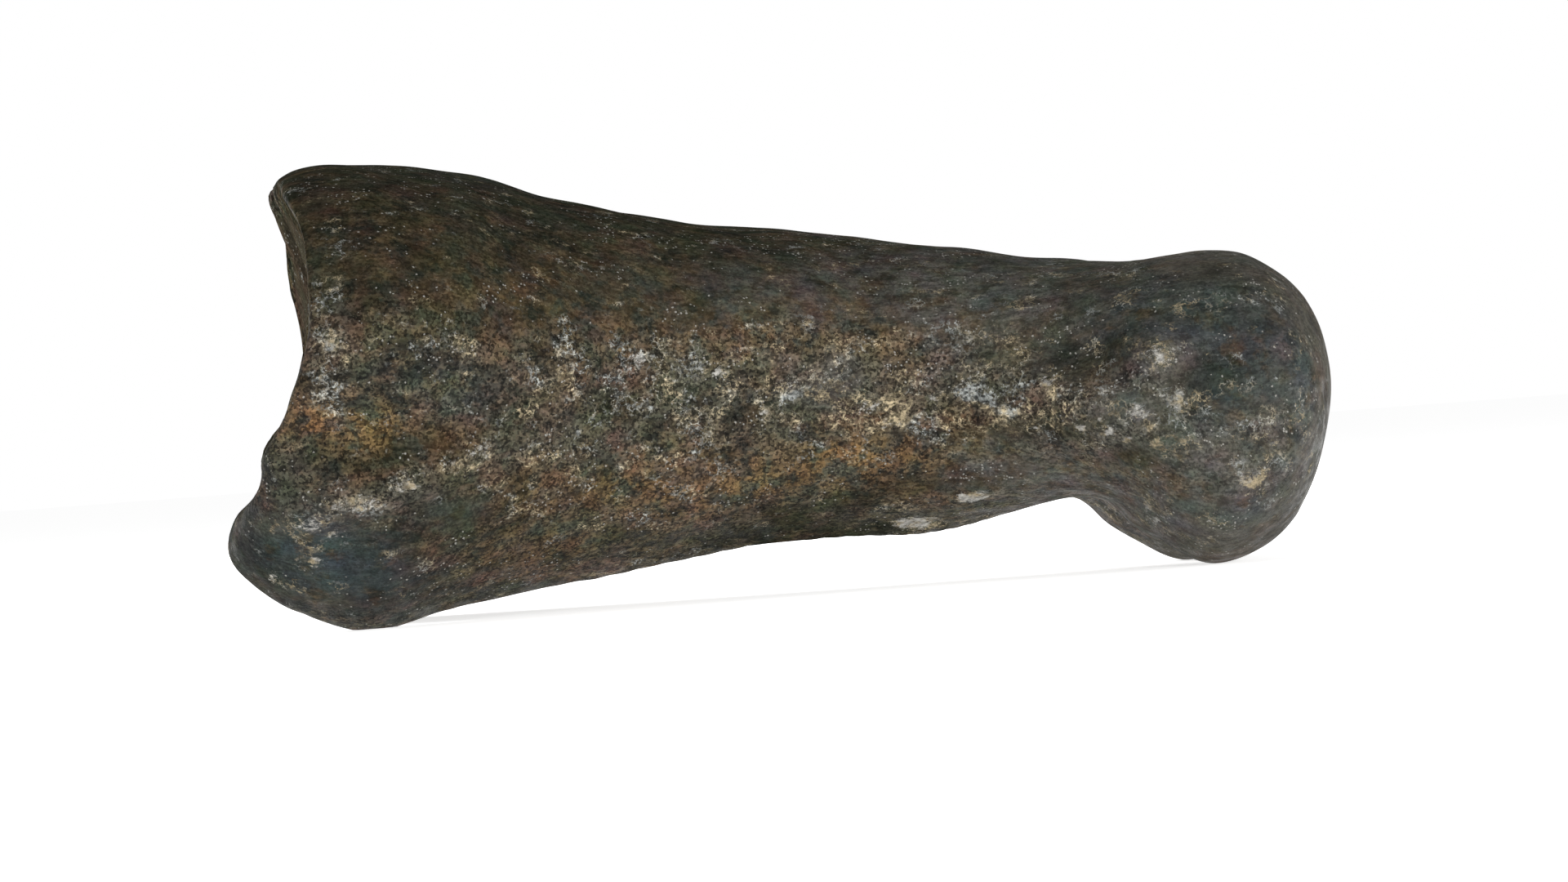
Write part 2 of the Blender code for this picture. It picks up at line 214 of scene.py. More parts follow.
@dataclass
class BoneForm:
    """The bone's smooth form: guide lines as (x, z), one point for each ring from joint rim to toe."""

    rows: int = 300
    face_rows: int = 34
    around: int = 288
    quarter_samples: int = 400
    guide_samples: int = 2000
    joint_samples: int = 97
    dorsal_line: Line = (
        (-35.2, 30.2), (-35.9, 31.4), (-34.6, 32.6), (-31.8, 33.2), (-28.2, 33.0), (-24.2, 32.3),
        (-20.3, 31.4), (-15.6, 29.95), (-9.5, 28.25), (-2.0, 26.75), (6.0, 25.4), (13.5, 23.9),
        (20.0, 22.9), (25.2, 22.6), (28.4, 22.7), (31.3, 22.8), (34.2, 22.3), (36.8, 20.5),
        (38.6, 17.8), (39.7, 14.9), (39.95, 11.7),
    )
    side_line: Line = (
        (-34.4, 21.5), (-34.6, 21.0), (-33.6, 20.5), (-31.6, 19.8), (-28.9, 19.2), (-25.8, 18.6),
        (-22.2, 18.0), (-17.6, 17.2), (-11.8, 16.4), (-4.5, 15.6), (4.0, 15.1), (12.0, 14.5),
        (18.5, 13.4), (23.4, 12.4), (26.8, 11.8), (29.8, 11.6), (32.6, 11.5), (35.4, 11.6),
        (37.6, 11.6), (39.1, 11.7), (39.95, 11.7),
    )
    keel_line: Line = (
        (-37.2, 13.7), (-37.9, 10.9), (-39.3, 8.7), (-39.7, 6.1), (-37.8, 3.5), (-34.5, 1.45),
        (-30.1, 0.15), (-24.8, 1.25), (-17.0, 2.35), (-8.5, 3.35), (0.5, 3.95), (9.0, 3.9),
        (15.5, 4.75), (20.3, 5.3), (23.3, 4.5), (26.2, 1.8), (29.9, -0.1), (34.2, 1.05),
        (37.15, 3.85), (39.1, 7.8), (39.95, 11.7),
    )
    hollow_line: Line = (
        (-34.6, 14.6), (-34.8, 13.0), (-34.2, 11.6), (-33.0, 10.3), (-31.4, 9.2), (-29.2, 8.3),
        (-26.4, 6.7), (-22.0, 5.2), (-15.5, 4.4), (-8.0, 4.3), (0.5, 4.6), (9.0, 4.4),
        (15.5, 5.1), (20.3, 5.6), (23.5, 5.0), (26.3, 2.6), (29.9, 0.9), (34.2, 1.7),
        (37.1, 4.3), (39.1, 8.0), (39.95, 11.7),
    )
    # Half width, squareness of the dorsal and palmar halves (2 is round), and the keels' reach, ring by ring.
    sections: Line = (
        (22.6, 2.3, 2.7, 0.62), (23.7, 2.3, 2.7, 0.62), (24.6, 2.3, 2.7, 0.60), (25.3, 2.3, 2.7, 0.60),
        (25.3, 2.3, 2.7, 0.60), (24.7, 2.2, 2.6, 0.60), (23.6, 2.2, 2.5, 0.60), (21.8, 2.1, 2.4, 0.58),
        (19.5, 2.1, 2.3, 0.54), (17.4, 2.1, 2.3, 0.49), (16.1, 2.1, 2.3, 0.43), (16.6, 2.15, 2.4, 0.37),
        (18.7, 2.3, 2.5, 0.34), (20.8, 2.6, 2.8, 0.37), (21.7, 2.9, 3.2, 0.44), (21.8, 3.1, 3.6, 0.46),
        (21.5, 3.3, 3.8, 0.46), (20.9, 3.4, 3.8, 0.46), (20.0, 3.5, 3.8, 0.46), (18.3, 3.5, 3.8, 0.46),
        (14.5, 3.5, 3.8, 0.46),
    )
    far_side_widening: float = 1.03
    joint_profile: Line = (
        (-48.0, 0.0), (-43.0, 6.5), (-38.45, 10.5), (-37.8, 12.3), (-36.7, 14.0), (-35.3, 16.0),
        (-34.2, 18.4), (-33.7, 21.5), (-33.9, 24.5), (-34.4, 27.2), (-35.2, 29.6), (-35.8, 31.4),
        (-35.8, 33.5),
    )
    joint_centre_z: float = 22.0
    joint_middle_edge_z: float = 16.5
    joint_middle_share: float = 0.1
    joint_middle_fade_y: Stretch = (3.0, 13.0)
    groove_depth: float = 3.3
    groove_half_width: float = 3.9
    groove_at_lip: float = 0.5
    groove_fade_z: Stretch = (18.0, 31.0)
    cavity_depth: float = 0.9
    cavity_centre_y: float = 14.0
    cavity_half_width: float = 9.5
    joint_tilt: float = 0.04
    joint_tilt_z: Stretch = (17.0, 25.0)
    rim_set_back: float = 6.0
    rim_set_back_places: Stretch = (1.5, 0.5)
    rim_rounding: float = 0.7
    condyle_start_x: Stretch = (20.5, 27.5)
    condyle_axis: Stretch = (29.3, 11.4)
    condyle_radius: float = 11.3
    condyle_shoulder_fall: float = 1.6
    condyle_shoulder_y: Stretch = (10.0, 20.0)
    toe_groove_depth: float = 1.7
    toe_groove_half_width: float = 5.5
    near_side_shorter: float = 0.9
    near_side_y: Stretch = (0.0, 18.0)
    near_side_x: Stretch = (24.0, 38.0)
    toe_soft_rows: int = 24
    toe_soft_passes: int = 50

    def joint_profile_x(self, z: np.ndarray) -> np.ndarray:
        """How far along the bone the joint face lies at height z, in the side view."""
        line = through(self.joint_profile, np.linspace(0, len(self.joint_profile) - 1, self.joint_samples))
        return np.interp(z, line[:, 1], line[:, 0])

    def joint_face_x(self, y: np.ndarray, z: np.ndarray) -> np.ndarray:
        """The joint face: the side view's curve, plus two shallow round cavities and a bell-shaped groove."""
        cavity = np.clip(1 - ((np.abs(y) - self.cavity_centre_y) / self.cavity_half_width) ** 2, 0, None)
        depth = self.groove_depth * (1 - (1 - self.groove_at_lip) * grow(z, self.groove_fade_z))
        groove = depth * np.exp(-((y / self.groove_half_width) ** 2))
        tilt = -self.joint_tilt * y * grow(z, self.joint_tilt_z)
        outward = smooth_step(grow(np.abs(y), self.joint_middle_fade_y))
        middle = self.joint_profile_x(np.maximum(z, self.joint_middle_edge_z))
        reach = self.joint_middle_share + (1 - self.joint_middle_share) * outward
        profile = middle + (self.joint_profile_x(z) - middle) * reach
        return profile + self.cavity_depth * cavity + groove + tilt

    def even_places(self) -> np.ndarray:
        """Where the rings lie, counted in guide points, so that they are evenly apart along the skin."""
        fine = np.linspace(0, len(self.side_line) - 1, self.guide_samples)
        lines = [through(line, fine) for line in (self.dorsal_line, self.side_line, self.keel_line)]
        step = sum(np.linalg.norm(np.diff(line, axis=0), axis=1) for line in lines)
        length = np.concatenate([[0], np.cumsum(step)])
        return np.interp(np.linspace(0, length[-1], self.rows), length, fine)

    def body(self) -> np.ndarray:
        """The rings round the bone.

        Each quarter of a ring is a superellipse, across = sin(turn)^p and rise = cos(turn)^p with p = 2 over
        its squareness, spanned between the side line and the dorsal line or the palmar one. The palmar line
        passes from the hollow in the middle to the keel. The joint face trims every ring by a soft maximum.

        Returns:
            The points as rings, turns and x, y, z, evenly spaced round each quarter.
        """
        place = self.even_places()
        dorsal, side, keel, hollow = (
            through(line, place)[:, None, :]
            for line in (self.dorsal_line, self.side_line, self.keel_line, self.hollow_line)
        )
        width, dorsal_square, palmar_square, reach = (v[:, None] for v in through(self.sections, place).T)
        keel_rise = (1 - reach**palmar_square) ** (1 / palmar_square)
        keel = side + (keel - side) / keel_rise[..., None]
        turn = np.linspace(0, math.pi / 2, self.quarter_samples)[None, :]
        set_back = self.rim_set_back * grow(place, self.rim_set_back_places)[:, None]
        quarters = []
        for is_dorsal, sign in ((True, 1), (False, 1), (False, -1), (True, -1)):
            power = 2 / (dorsal_square if is_dorsal else palmar_square)
            across = np.sin(turn) ** power
            rise = np.clip(np.cos(turn), 0, 1) ** power
            lobe = smooth_step(across / reach)[..., None]
            middle = dorsal if is_dorsal else (1 - lobe) * hollow + lobe * keel
            xz = side + (middle - side) * rise[..., None]
            y = sign * width * (self.far_side_widening if sign > 0 else 1) * across
            skin = xz[..., 0] - set_back
            face = self.joint_face_x(y, xz[..., 1])
            x = (skin + face + np.sqrt((skin - face) ** 2 + self.rim_rounding**2)) / 2
            points = np.stack([x, y, xz[..., 1]], -1)
            if (is_dorsal, sign) in ((False, 1), (True, -1)):
                points = points[:, ::-1]
            quarters.append(self.even_turns(points))
        return np.concatenate(quarters, 1)

    def even_turns(self, points: np.ndarray) -> np.ndarray:
        """The quarter rings again, with their points at equal steps of arc length."""
        step = np.linalg.norm(np.diff(points, axis=1), axis=-1)
        length = np.concatenate([np.zeros((len(points), 1)), np.cumsum(step, 1)], 1)
        share = np.linspace(0, 1, self.around // 4 + 1)[:-1]
        rings = [
            np.stack([np.interp(share * arc[-1], arc, ring[:, k]) for k in range(3)], 1)
            for arc, ring in zip(length, points)
        ]
        return np.array(rings)

    def joint_face(self, rim: np.ndarray) -> np.ndarray:
        """The rings of the joint face: the rim drawn in towards its middle point, read off the joint face."""
        share = np.linspace(0, 1, self.face_rows + 1)[:-1, None]
        y = share * rim[:, 1]
        z = self.joint_centre_z + share * (rim[:, 2] - self.joint_centre_z)
        return np.stack([self.joint_face_x(y, z), y, z], 2)

    def turn_condyles(self, points: np.ndarray) -> np.ndarray:
        """The toe end's groove and falling shoulders: each point drawn towards the condyles' own axis."""
        x, y, z = np.moveaxis(points, -1, 0)
        share = smooth_step(grow(x, self.condyle_start_x))
        groove = self.toe_groove_depth * np.exp(-((y / self.toe_groove_half_width) ** 2))
        shoulder = self.condyle_shoulder_fall * grow(np.abs(y), self.condyle_shoulder_y) ** 2
        keep = 1 - share * (groove + shoulder) / self.condyle_radius
        shorter = self.near_side_shorter * share * grow(-y, self.near_side_y) * grow(x, self.near_side_x)
        x_axis, z_axis = self.condyle_axis
        return np.stack([x_axis + (x - x_axis) * keep - shorter, y, z_axis + (z - z_axis) * keep], -1)

    def toe_partner(self) -> np.ndarray:
        """For each point of the last ring, the one across the line into which that ring is pressed."""
        return (self.around // 2 - np.arange(self.around)) % self.around

    def soften_toe(self, points: np.ndarray) -> np.ndarray:
        """Rounds the line at the toe: passes of a 1-2-1 mean from ring to ring and on across that line."""
        rows = self.toe_soft_rows
        for _ in range(self.toe_soft_passes):
            strip = np.concatenate([points[-rows:], points[-2:-1, self.toe_partner()]])
            points[1 - rows:] = (strip[:-2] + 2 * strip[1:-1] + strip[2:]) / 4
        return points

    def skin(self) -> np.ndarray:
        """The whole smooth skin: the joint face's rings, then the body's, in millimetres."""
        body = self.body()
        points = self.turn_condyles(np.concatenate([self.joint_face(body[0]), body]))
        return self.soften_toe(points)

    def normals(self, points: np.ndarray) -> np.ndarray:
        """Outward normals: the cross product of the steps along and around, drawn to length 1."""
        along = np.gradient(points, axis=0)
        around = np.roll(points, -1, axis=1) - np.roll(points, 1, axis=1)
        normal = np.cross(along, around)
        normal /= np.maximum(np.linalg.norm(normal, axis=-1, keepdims=True), 1e-9)
        normal[0] = (-1, 0, 0)
        normal[-1] = (1, 0, 0)
        return normal


@dataclass
class Landmarks:
    """The lumps, pits and ridges that the solid has too, in millimetres."""

    # Centre x, y, z, radius along x, y, z, and height. The near side faces -Y.
    lumps: dict[str, tuple[float, ...]] = field(default_factory=lambda: {
        "near collateral tubercle": (25.6, -21.5, 15.4, 2.6, 4.0, 2.4, 0.9),
        "near lower tubercle": (26.2, -21.5, 9.6, 2.6, 4.0, 2.2, 0.7),
        "near collateral fossa": (30.0, -21.5, 12.8, 3.6, 5.0, 4.0, -1.5),
        "near dorsal fossa": (21.0, -19.0, 16.4, 3.6, 5.0, 2.4, -0.6),
        "near palmar hollow": (18.0, -15.0, 8.4, 7.0, 5.0, 2.4, -1.1),
        "near joint hollow": (-31.5, -23.5, 13.2, 4.6, 5.0, 2.6, -1.6),
        "near palmar lip": (-36.9, -16.0, 13.4, 1.8, 6.0, 1.5, 0.6),
        "near lip notch": (-38.0, -16.0, 10.5, 1.6, 6.0, 1.3, -0.5),
        "near joint tubercle": (-27.0, -24.5, 20.5, 5.0, 4.0, 4.0, 0.7),
        "far collateral tubercle": (27.6, 22.0, 15.4, 2.8, 4.0, 2.6, 0.9),
        "far collateral fossa": (31.8, 22.0, 12.4, 4.0, 5.0, 4.2, -1.6),
        "far palmar hollow": (19.5, 15.5, 8.4, 7.0, 5.0, 2.6, -1.0),
        "far joint hollow": (-31.5, 24.0, 13.2, 4.6, 5.0, 2.6, -1.5),
        "far palmar lip": (-36.9, 16.0, 13.4, 1.8, 6.0, 1.5, 0.5),
        "far lip notch": (-38.2, 16.0, 10.0, 1.6, 7.0, 1.5, -0.9),
        "far joint tubercle": (-27.5, 25.0, 20.5, 5.0, 4.0, 4.2, 0.8),
        "near extensor swelling": (-27.0, -9.0, 33.0, 5.0, 5.0, 4.0, 0.2),
        "far extensor swelling": (-27.0, 9.5, 33.0, 5.0, 5.0, 4.0, 0.25),
        "dorsal dimple": (25.0, 0.0, 22.2, 2.6, 9.0, 4.0, -0.5),
        "palmar dimple": (21.5, 0.0, 6.0, 2.6, 5.0, 4.0, -0.6),
        "near palmar tubercle": (23.9, -11.0, 3.2, 1.6, 4.0, 2.0, 0.5),
        "far palmar tubercle": (23.9, 11.5, 3.2, 1.6, 4.0, 2.0, 0.5),
    })
    ridges: dict[str, Ridge] = field(default_factory=lambda: {
        "near crest": Ridge(((12.4, -17, 14.7), (17.2, -19, 13.5), (21.7, -20.6, 11.6), (25.9, -21.6, 9.3)),
                            1.5, 0.8),
        "far crest": Ridge(((14, 17.4, 14.8), (19, 19.4, 13.4), (23.7, 21, 11.6), (28, 22, 9.4)), 1.7, 0.7),
        "near eminence": Ridge(((-36, -23, 7.4), (-31, -23, 8.4), (-27, -23, 9.7), (-21, -22, 12)), 1.3, 0.9),
        "far eminence": Ridge(((-36, 23.5, 7.6), (-31, 24, 8.6), (-27, 23.5, 9.9), (-21, 22.5, 12)),
                              1.5, 0.8),
        "near triangle": Ridge(((-14, -9.5, 2), (-2, -8.4, 3.2), (8, -7, 3.9), (15, -4.2, 4.6)), 1.5, 0.45),
        "far triangle": Ridge(((-14, 9.8, 2), (-2, 8.7, 3.2), (8, 7.2, 3.9), (15, 4.3, 4.6)), 1.5, 0.45),
    })
    # The slow unevenness of a grown bone: each wave's height, its turns along x, y and z, and its start.
    waves: Line = (
        (0.11, 0.21, 0.33, 0.0, 0.7),
        (0.08, 0.47, 0.0, -0.29, 2.1),
        (0.08, 0.0, 0.38, 0.52, 4.0),
        (0.05, 0.81, 0.44, -0.63, 0.0),
    )
    waves_start_z: Stretch = (1.0, 6.0)

    def heights(self, points: np.ndarray) -> np.ndarray:
        """How far each point rises or sinks: the sum of bells for lumps and pits, ridges, and sine waves."""
        height = np.zeros(points.shape[:-1])
        for x, y, z, along, across, up, rise in self.lumps.values():
            offset = (points - (x, y, z)) / (along, across, up)
            height += rise * np.exp(-(offset**2).sum(-1))
        for ridge in self.ridges.values():
            height += ridge.height * ridge.reach(points)
        wave = sum(rise * np.sin(points @ np.array(turns) + start) for rise, *turns, start in self.waves)
        return height + wave * grow(points[..., 2], self.waves_start_z)


@dataclass(frozen=True)
class Patch:
    """A stained place: a bell round a point, with its own radius along x, y and z."""

    centre: Spot
    radius: Spot
    strength: float

    def reach(self, points: np.ndarray) -> np.ndarray:
        """The stain's strength at each point."""
        offset = (points - self.centre) / self.radius
        return self.strength * np.exp(-(offset**2).sum(-1))


def patches_at(rows: list | Line) -> list[Patch]:
    """Patches from rows of x, y, z, three radii and strength."""
    return [Patch(row[:3], row[3:6], row[6]) for row in rows]


@dataclass(frozen=True)
class Flank:
    """One side of the bone, and how the rows of its patches are written down.

    The patches centre at y and reach that far across. Their x and z are drawn in by draw, then moved.
    """

    y: float
    reach: float = 16.0
    draw: float = 1.0
    move: Stretch = (0.0, 0.0)

    def patches(self, spots: Line) -> list[Patch]:
        """Patches on this side.

        Args:
            spots: Rows of x, z, radius along x, radius along z and strength.

        Returns:
            The patches, with x and z drawn in and moved as this side needs it.
        """
        move_x, move_z = self.move
        return patches_at([
            (self.draw * x + move_x, self.y, self.draw * z + move_z, along, self.reach, up, strength)
            for x, z, along, up, strength in spots
        ])


# The near side's places are written down as the camera sees them against the bone's middle plane. That side
# is closer to the camera, so they are drawn in and moved.
NEAR_SIDE = Flank(-20.0, draw=0.96, move=(-1.03, 0.44))
FAR_SIDE = Flank(20.0)


@dataclass(frozen=True)
class Places:
    """Where one stain lies.

    The patches of the near and far sides are rows of x, z, radius along x, radius along z and strength. Those
    of the palmar side, the dorsal side and the joint ends are rows of x, y, z, three radii and strength.
    """

    near: Line
    far: Line
    middle: Line = ()

    def strength(self, points: np.ndarray) -> np.ndarray:
        """The stain at each point. Patches lie over each other: the bare shares they leave are multiplied."""
        bare = np.ones(points.shape[:-1])
        for patch in NEAR_SIDE.patches(self.near) + FAR_SIDE.patches(self.far) + patches_at(self.middle):
            bare *= 1 - np.clip(patch.reach(points), 0, 1)
        return 1 - bare


@dataclass
class StainMap:
    """Where the crust, flakes, rust, pale grey, slate and wear lie, and the painted shade and light, in
    millimetres.
    """

    crust: Places = Places(
        near=(
            (-32.0, 23.7, 1.1, 2.2, 0.6), (-31.8, 20.3, 1.3, 2.6, 0.9), (-32.6, 17.2, 1.5, 1.8, 0.7),
            (-27.5, 20.4, 2.6, 1.0, 0.55), (-22.9, 19.8, 2.4, 0.9, 0.75), (-18.0, 17.8, 3.2, 1.8, 0.5),
            (-13.5, 17.2, 3.4, 1.8, 0.7), (-9.0, 17.6, 3.4, 1.7, 0.8), (-8.0, 14.4, 3.2, 1.6, 0.65),
            (-3.0, 15.4, 4.0, 2.0, 0.8), (2.0, 14.3, 4.0, 1.8, 0.95), (5.0, 13.2, 3.4, 1.6, 0.85),
            (9.0, 12.4, 3.8, 1.9, 0.9), (14.0, 13.0, 3.8, 1.7, 0.85), (13.0, 15.6, 5.0, 2.0, 0.5),
            (19.6, 13.8, 1.6, 0.9, 0.95), (17.0, 12.0, 3.4, 1.4, 0.85), (22.6, 12.8, 2.6, 0.9, 0.9),
            (25.8, 11.0, 2.2, 1.2, 1.0), (28.6, 9.2, 1.5, 1.3, 1.0), (28.0, 15.0, 1.5, 1.3, 1.0),
            (28.8, 11.8, 1.3, 1.2, 0.85),
            (-34.8, 7.6, 2.6, 1.0, 0.95), (-30.8, 8.9, 2.8, 1.0, 1.0), (-27.0, 9.9, 2.6, 0.9, 0.8),
            (-22.0, 11.5, 2.2, 1.2, 0.7), (-34.4, 4.5, 1.4, 0.9, 0.5), (-37.4, 3.9, 1.2, 0.7, 0.5),
            (32.4, 12.4, 3.0, 0.7, 0.45), (34.6, 8.5, 2.6, 2.0, 0.55), (34.3, 5.6, 1.8, 0.9, 0.85),
            # The first two patches of the next row, a strip along the toe's rim, are a painted highlight.
            (38.4, 11.6, 0.6, 2.2, 0.6), (38.2, 8.0, 0.6, 2.2, 0.55), (27.6, 4.0, 0.9, 1.0, 0.8),
            (30.8, 2.9, 1.4, 0.9, 0.75), (28.3, 1.4, 2.4, 0.9, 0.5), (31.0, 8.0, 4.5, 3.0, 0.25),
            (30.0, 18.6, 8.0, 2.8, 0.22), (18.0, 18.4, 6.0, 2.6, 0.35),
            (20.7, 10.4, 3.2, 0.8, 0.6), (24.5, 9.6, 1.6, 0.6, 0.65), (-16.0, 12.6, 6.0, 3.0, 0.42),
            (0.0, 11.6, 8.0, 2.4, 0.42), (5.0, 18.6, 9.0, 2.2, 0.4), (-8.0, 8.0, 8.0, 3.0, 0.2),
        ),
        far=(
            (-32.0, 22.0, 1.4, 3.0, 0.8), (-32.2, 17.2, 1.6, 2.0, 0.6), (-24.0, 19.6, 3.6, 1.2, 0.6),
            (-15.0, 17.4, 4.4, 1.8, 0.65), (-6.0, 16.2, 4.6, 2.2, 0.85), (3.0, 14.2, 4.4, 1.9, 0.75),
            (11.0, 13.4, 4.8, 1.9, 0.85), (19.4, 13.8, 2.6, 1.2, 0.9), (24.6, 11.6, 3.2, 1.3, 0.85),
            (28.4, 9.4, 1.7, 1.4, 0.9), (27.4, 15.4, 1.7, 1.4, 0.8), (-35.2, 7.6, 2.4, 1.0, 0.7),
            (-29.4, 9.4, 3.4, 1.1, 0.95), (-22.6, 11.2, 2.6, 1.2, 0.7), (33.6, 6.4, 2.2, 1.2, 0.7),
            (29.4, 3.2, 1.8, 1.0, 0.6), (-12.0, 11.8, 7.0, 2.8, 0.45), (4.0, 10.8, 8.0, 2.2, 0.4),
            (-31.0, 4.4, 2.0, 1.0, 0.5), (20.0, 10.2, 3.4, 0.8, 0.55),
        ),
        middle=(
            (9.2, -7.6, 4.2, 1.7, 1.6, 1.4, 1.3), (13.4, -6.4, 5.4, 1.9, 1.8, 1.2, 1.1),
            (-16.0, 8.6, 2.4, 3.4, 1.6, 2.0, 0.8), (3.0, 8.4, 3.8, 3.0, 1.5, 1.6, 0.8),
            (-12.0, -9.2, 2.6, 3.6, 1.4, 2.0, 0.6), (-24.0, 0.0, 5.6, 5.0, 5.0, 3.0, 0.55),
            (-6.0, 0.5, 4.2, 8.0, 4.0, 3.0, 0.45), (22.0, 2.0, 5.4, 2.4, 6.0, 2.4, 0.5),
            (-33.8, 0.0, 13.0, 2.4, 7.0, 2.2, 0.5), (-35.0, 12.0, 31.0, 1.2, 5.0, 1.6, 0.5),
            (-35.0, -11.0, 31.2, 1.2, 4.0, 1.4, 0.4), (26.0, -9.0, 22.6, 1.4, 4.0, 1.4, 0.4),
            (25.6, 8.0, 22.8, 1.6, 5.0, 1.4, 0.5), (-4.0, 6.0, 26.0, 5.0, 2.6, 2.0, 0.35),
        ),
    )
    flakes: Places = Places(
        near=(
            (27.9, 15.0, 1.3, 0.9, 0.75), (29.1, 11.7, 0.8, 0.9, 0.6), (27.1, 8.8, 0.6, 0.6, 1.0),
            (30.8, 2.9, 1.2, 0.6, 0.75), (34.0, 5.6, 1.1, 0.6, 0.9), (35.2, 6.2, 0.7, 0.7, 0.7),
            (10.1, 4.2, 1.9, 0.4, 2.0), (14.5, 5.9, 1.3, 0.45, 1.7), (19.7, 13.8, 0.9, 0.5, 1.0),
            (3.2, 19.3, 0.5, 0.6, 0.8), (-3.6, 16.4, 0.8, 0.5, 0.9), (-9.6, 17.6, 0.8, 0.5, 0.8),
            (-22.8, 19.8, 0.9, 0.5, 0.7), (-31.9, 20.2, 0.5, 1.3, 0.75), (-32.6, 17.6, 0.5, 1.0, 0.7),
            (-34.4, 7.6, 1.8, 0.6, 0.7), (-30.8, 8.8, 1.9, 0.7, 0.75), (-27.2, 9.8, 1.8, 0.6, 0.7),
            (-23.8, 10.9, 1.6, 0.6, 0.6), (-33.0, 6.6, 1.4, 0.5, 0.5), (-21.6, 12.0, 1.0, 0.6, 0.7),
            (-37.5, 3.9, 0.5, 0.4, 0.9), (-34.2, 4.7, 0.5, 0.4, 0.9),
            (-0.4, 13.2, 1.4, 0.5, 0.6), (1.0, 15.0, 1.4, 0.5, 0.6), (6.6, 13.0, 1.6, 0.6, 0.6),
            (8.8, 11.6, 1.2, 0.4, 0.65), (12.2, 13.4, 1.8, 0.6, 0.55), (23.6, 12.6, 1.6, 0.5, 0.45),
            (26.0, 11.0, 1.4, 0.7, 0.55),
            (22.0, 10.4, 0.4, 0.25, 1.2), (24.0, 9.9, 0.4, 0.25, 1.2), (20.9, 10.9, 0.3, 0.2, 1.2),
            (25.2, 9.3, 0.3, 0.25, 1.2), (23.2, 10.8, 0.3, 0.2, 1.1), (18.9, 10.6, 0.4, 0.2, 1.2),
            (28.3, 4.6, 0.4, 0.4, 0.8),
            (26.9, 4.1, 0.4, 0.5, 0.8), (27.7, 3.1, 0.5, 0.35, 0.8),
        ),
        far=(
            (27.6, 15.4, 1.2, 0.9, 0.75), (28.4, 9.4, 0.8, 0.8, 0.9), (33.4, 6.0, 1.1, 0.6, 0.8),
            (12.0, 4.6, 1.7, 0.4, 1.1), (19.4, 13.8, 1.0, 0.5, 0.8), (-5.0, 16.0, 1.2, 0.5, 0.8),
            (-31.6, 8.6, 1.8, 0.5, 0.8), (-26.4, 10.2, 1.4, 0.5, 0.7), (-32.0, 20.0, 0.5, 1.4, 0.7),
            (3.4, 14.0, 1.5, 0.6, 0.7), (30.0, 3.2, 1.1, 0.6, 0.7), (-12.0, 13.0, 1.1, 0.5, 0.6),
        ),
    )
    rust: Places = Places(
        near=(
            (-33.8, 15.4, 2.2, 1.6, 0.9), (-29.2, 14.2, 2.2, 1.9, 0.85), (-24.6, 12.4, 3.0, 1.6, 0.45),
            (5.4, 9.6, 4.2, 2.2, 1.0), (-2.8, 8.2, 4.6, 2.0, 0.75), (-10.6, 8.4, 4.6, 2.4, 0.6),
            (-18.4, 8.4, 3.6, 2.0, 0.45), (13.5, 9.4, 3.8, 2.2, 0.6), (21.5, 6.8, 3.6, 1.2, 0.6),
            (26.5, 5.6, 3.2, 2.2, 0.45), (-14.0, 21.6, 8.0, 2.6, 0.5), (-2.0, 20.0, 8.0, 2.4, 0.55),
            (-30.0, 26.0, 8.0, 4.0, 0.3), (-18.0, 24.0, 8.0, 3.0, 0.3),
            (10.0, 18.8, 8.0, 2.4, 0.5), (-18.0, 4.4, 5.0, 1.2, 0.45), (13.2, 6.1, 3.0, 0.8, 0.5),
        ),
        far=(
            (-33.0, 14.6, 2.6, 1.8, 0.8), (-27.0, 13.6, 2.8, 1.6, 0.6), (-6.0, 9.0, 5.4, 2.4, 0.8),
            (6.5, 8.8, 5.0, 2.2, 0.9), (-17.0, 8.0, 4.2, 2.2, 0.5), (16.0, 8.2, 4.2, 2.0, 0.55),
            (25.0, 6.0, 3.8, 1.8, 0.5), (-8.0, 21.0, 9.0, 2.4, 0.4), (12.0, 18.6, 7.0, 2.0, 0.35),
        ),
        middle=(
            (-28.0, 2.0, 7.4, 5.0, 7.0, 4.0, 0.8), (-12.0, -2.0, 4.2, 7.0, 5.0, 3.0, 0.6),
            (10.0, 1.0, 4.4, 8.0, 4.0, 3.0, 0.7), (22.6, -3.0, 5.2, 3.0, 6.0, 3.0, 0.6),
            (-20.0, 7.0, 31.0, 7.0, 5.0, 3.0, 0.3), (6.0, -5.0, 25.0, 9.0, 4.0, 3.0, 0.3),
            (-33.0, 12.0, 26.0, 2.6, 6.0, 4.0, 0.4),
            (36.0, 3.0, 18.0, 4.0, 6.0, 4.0, 0.3),
        ),
    )
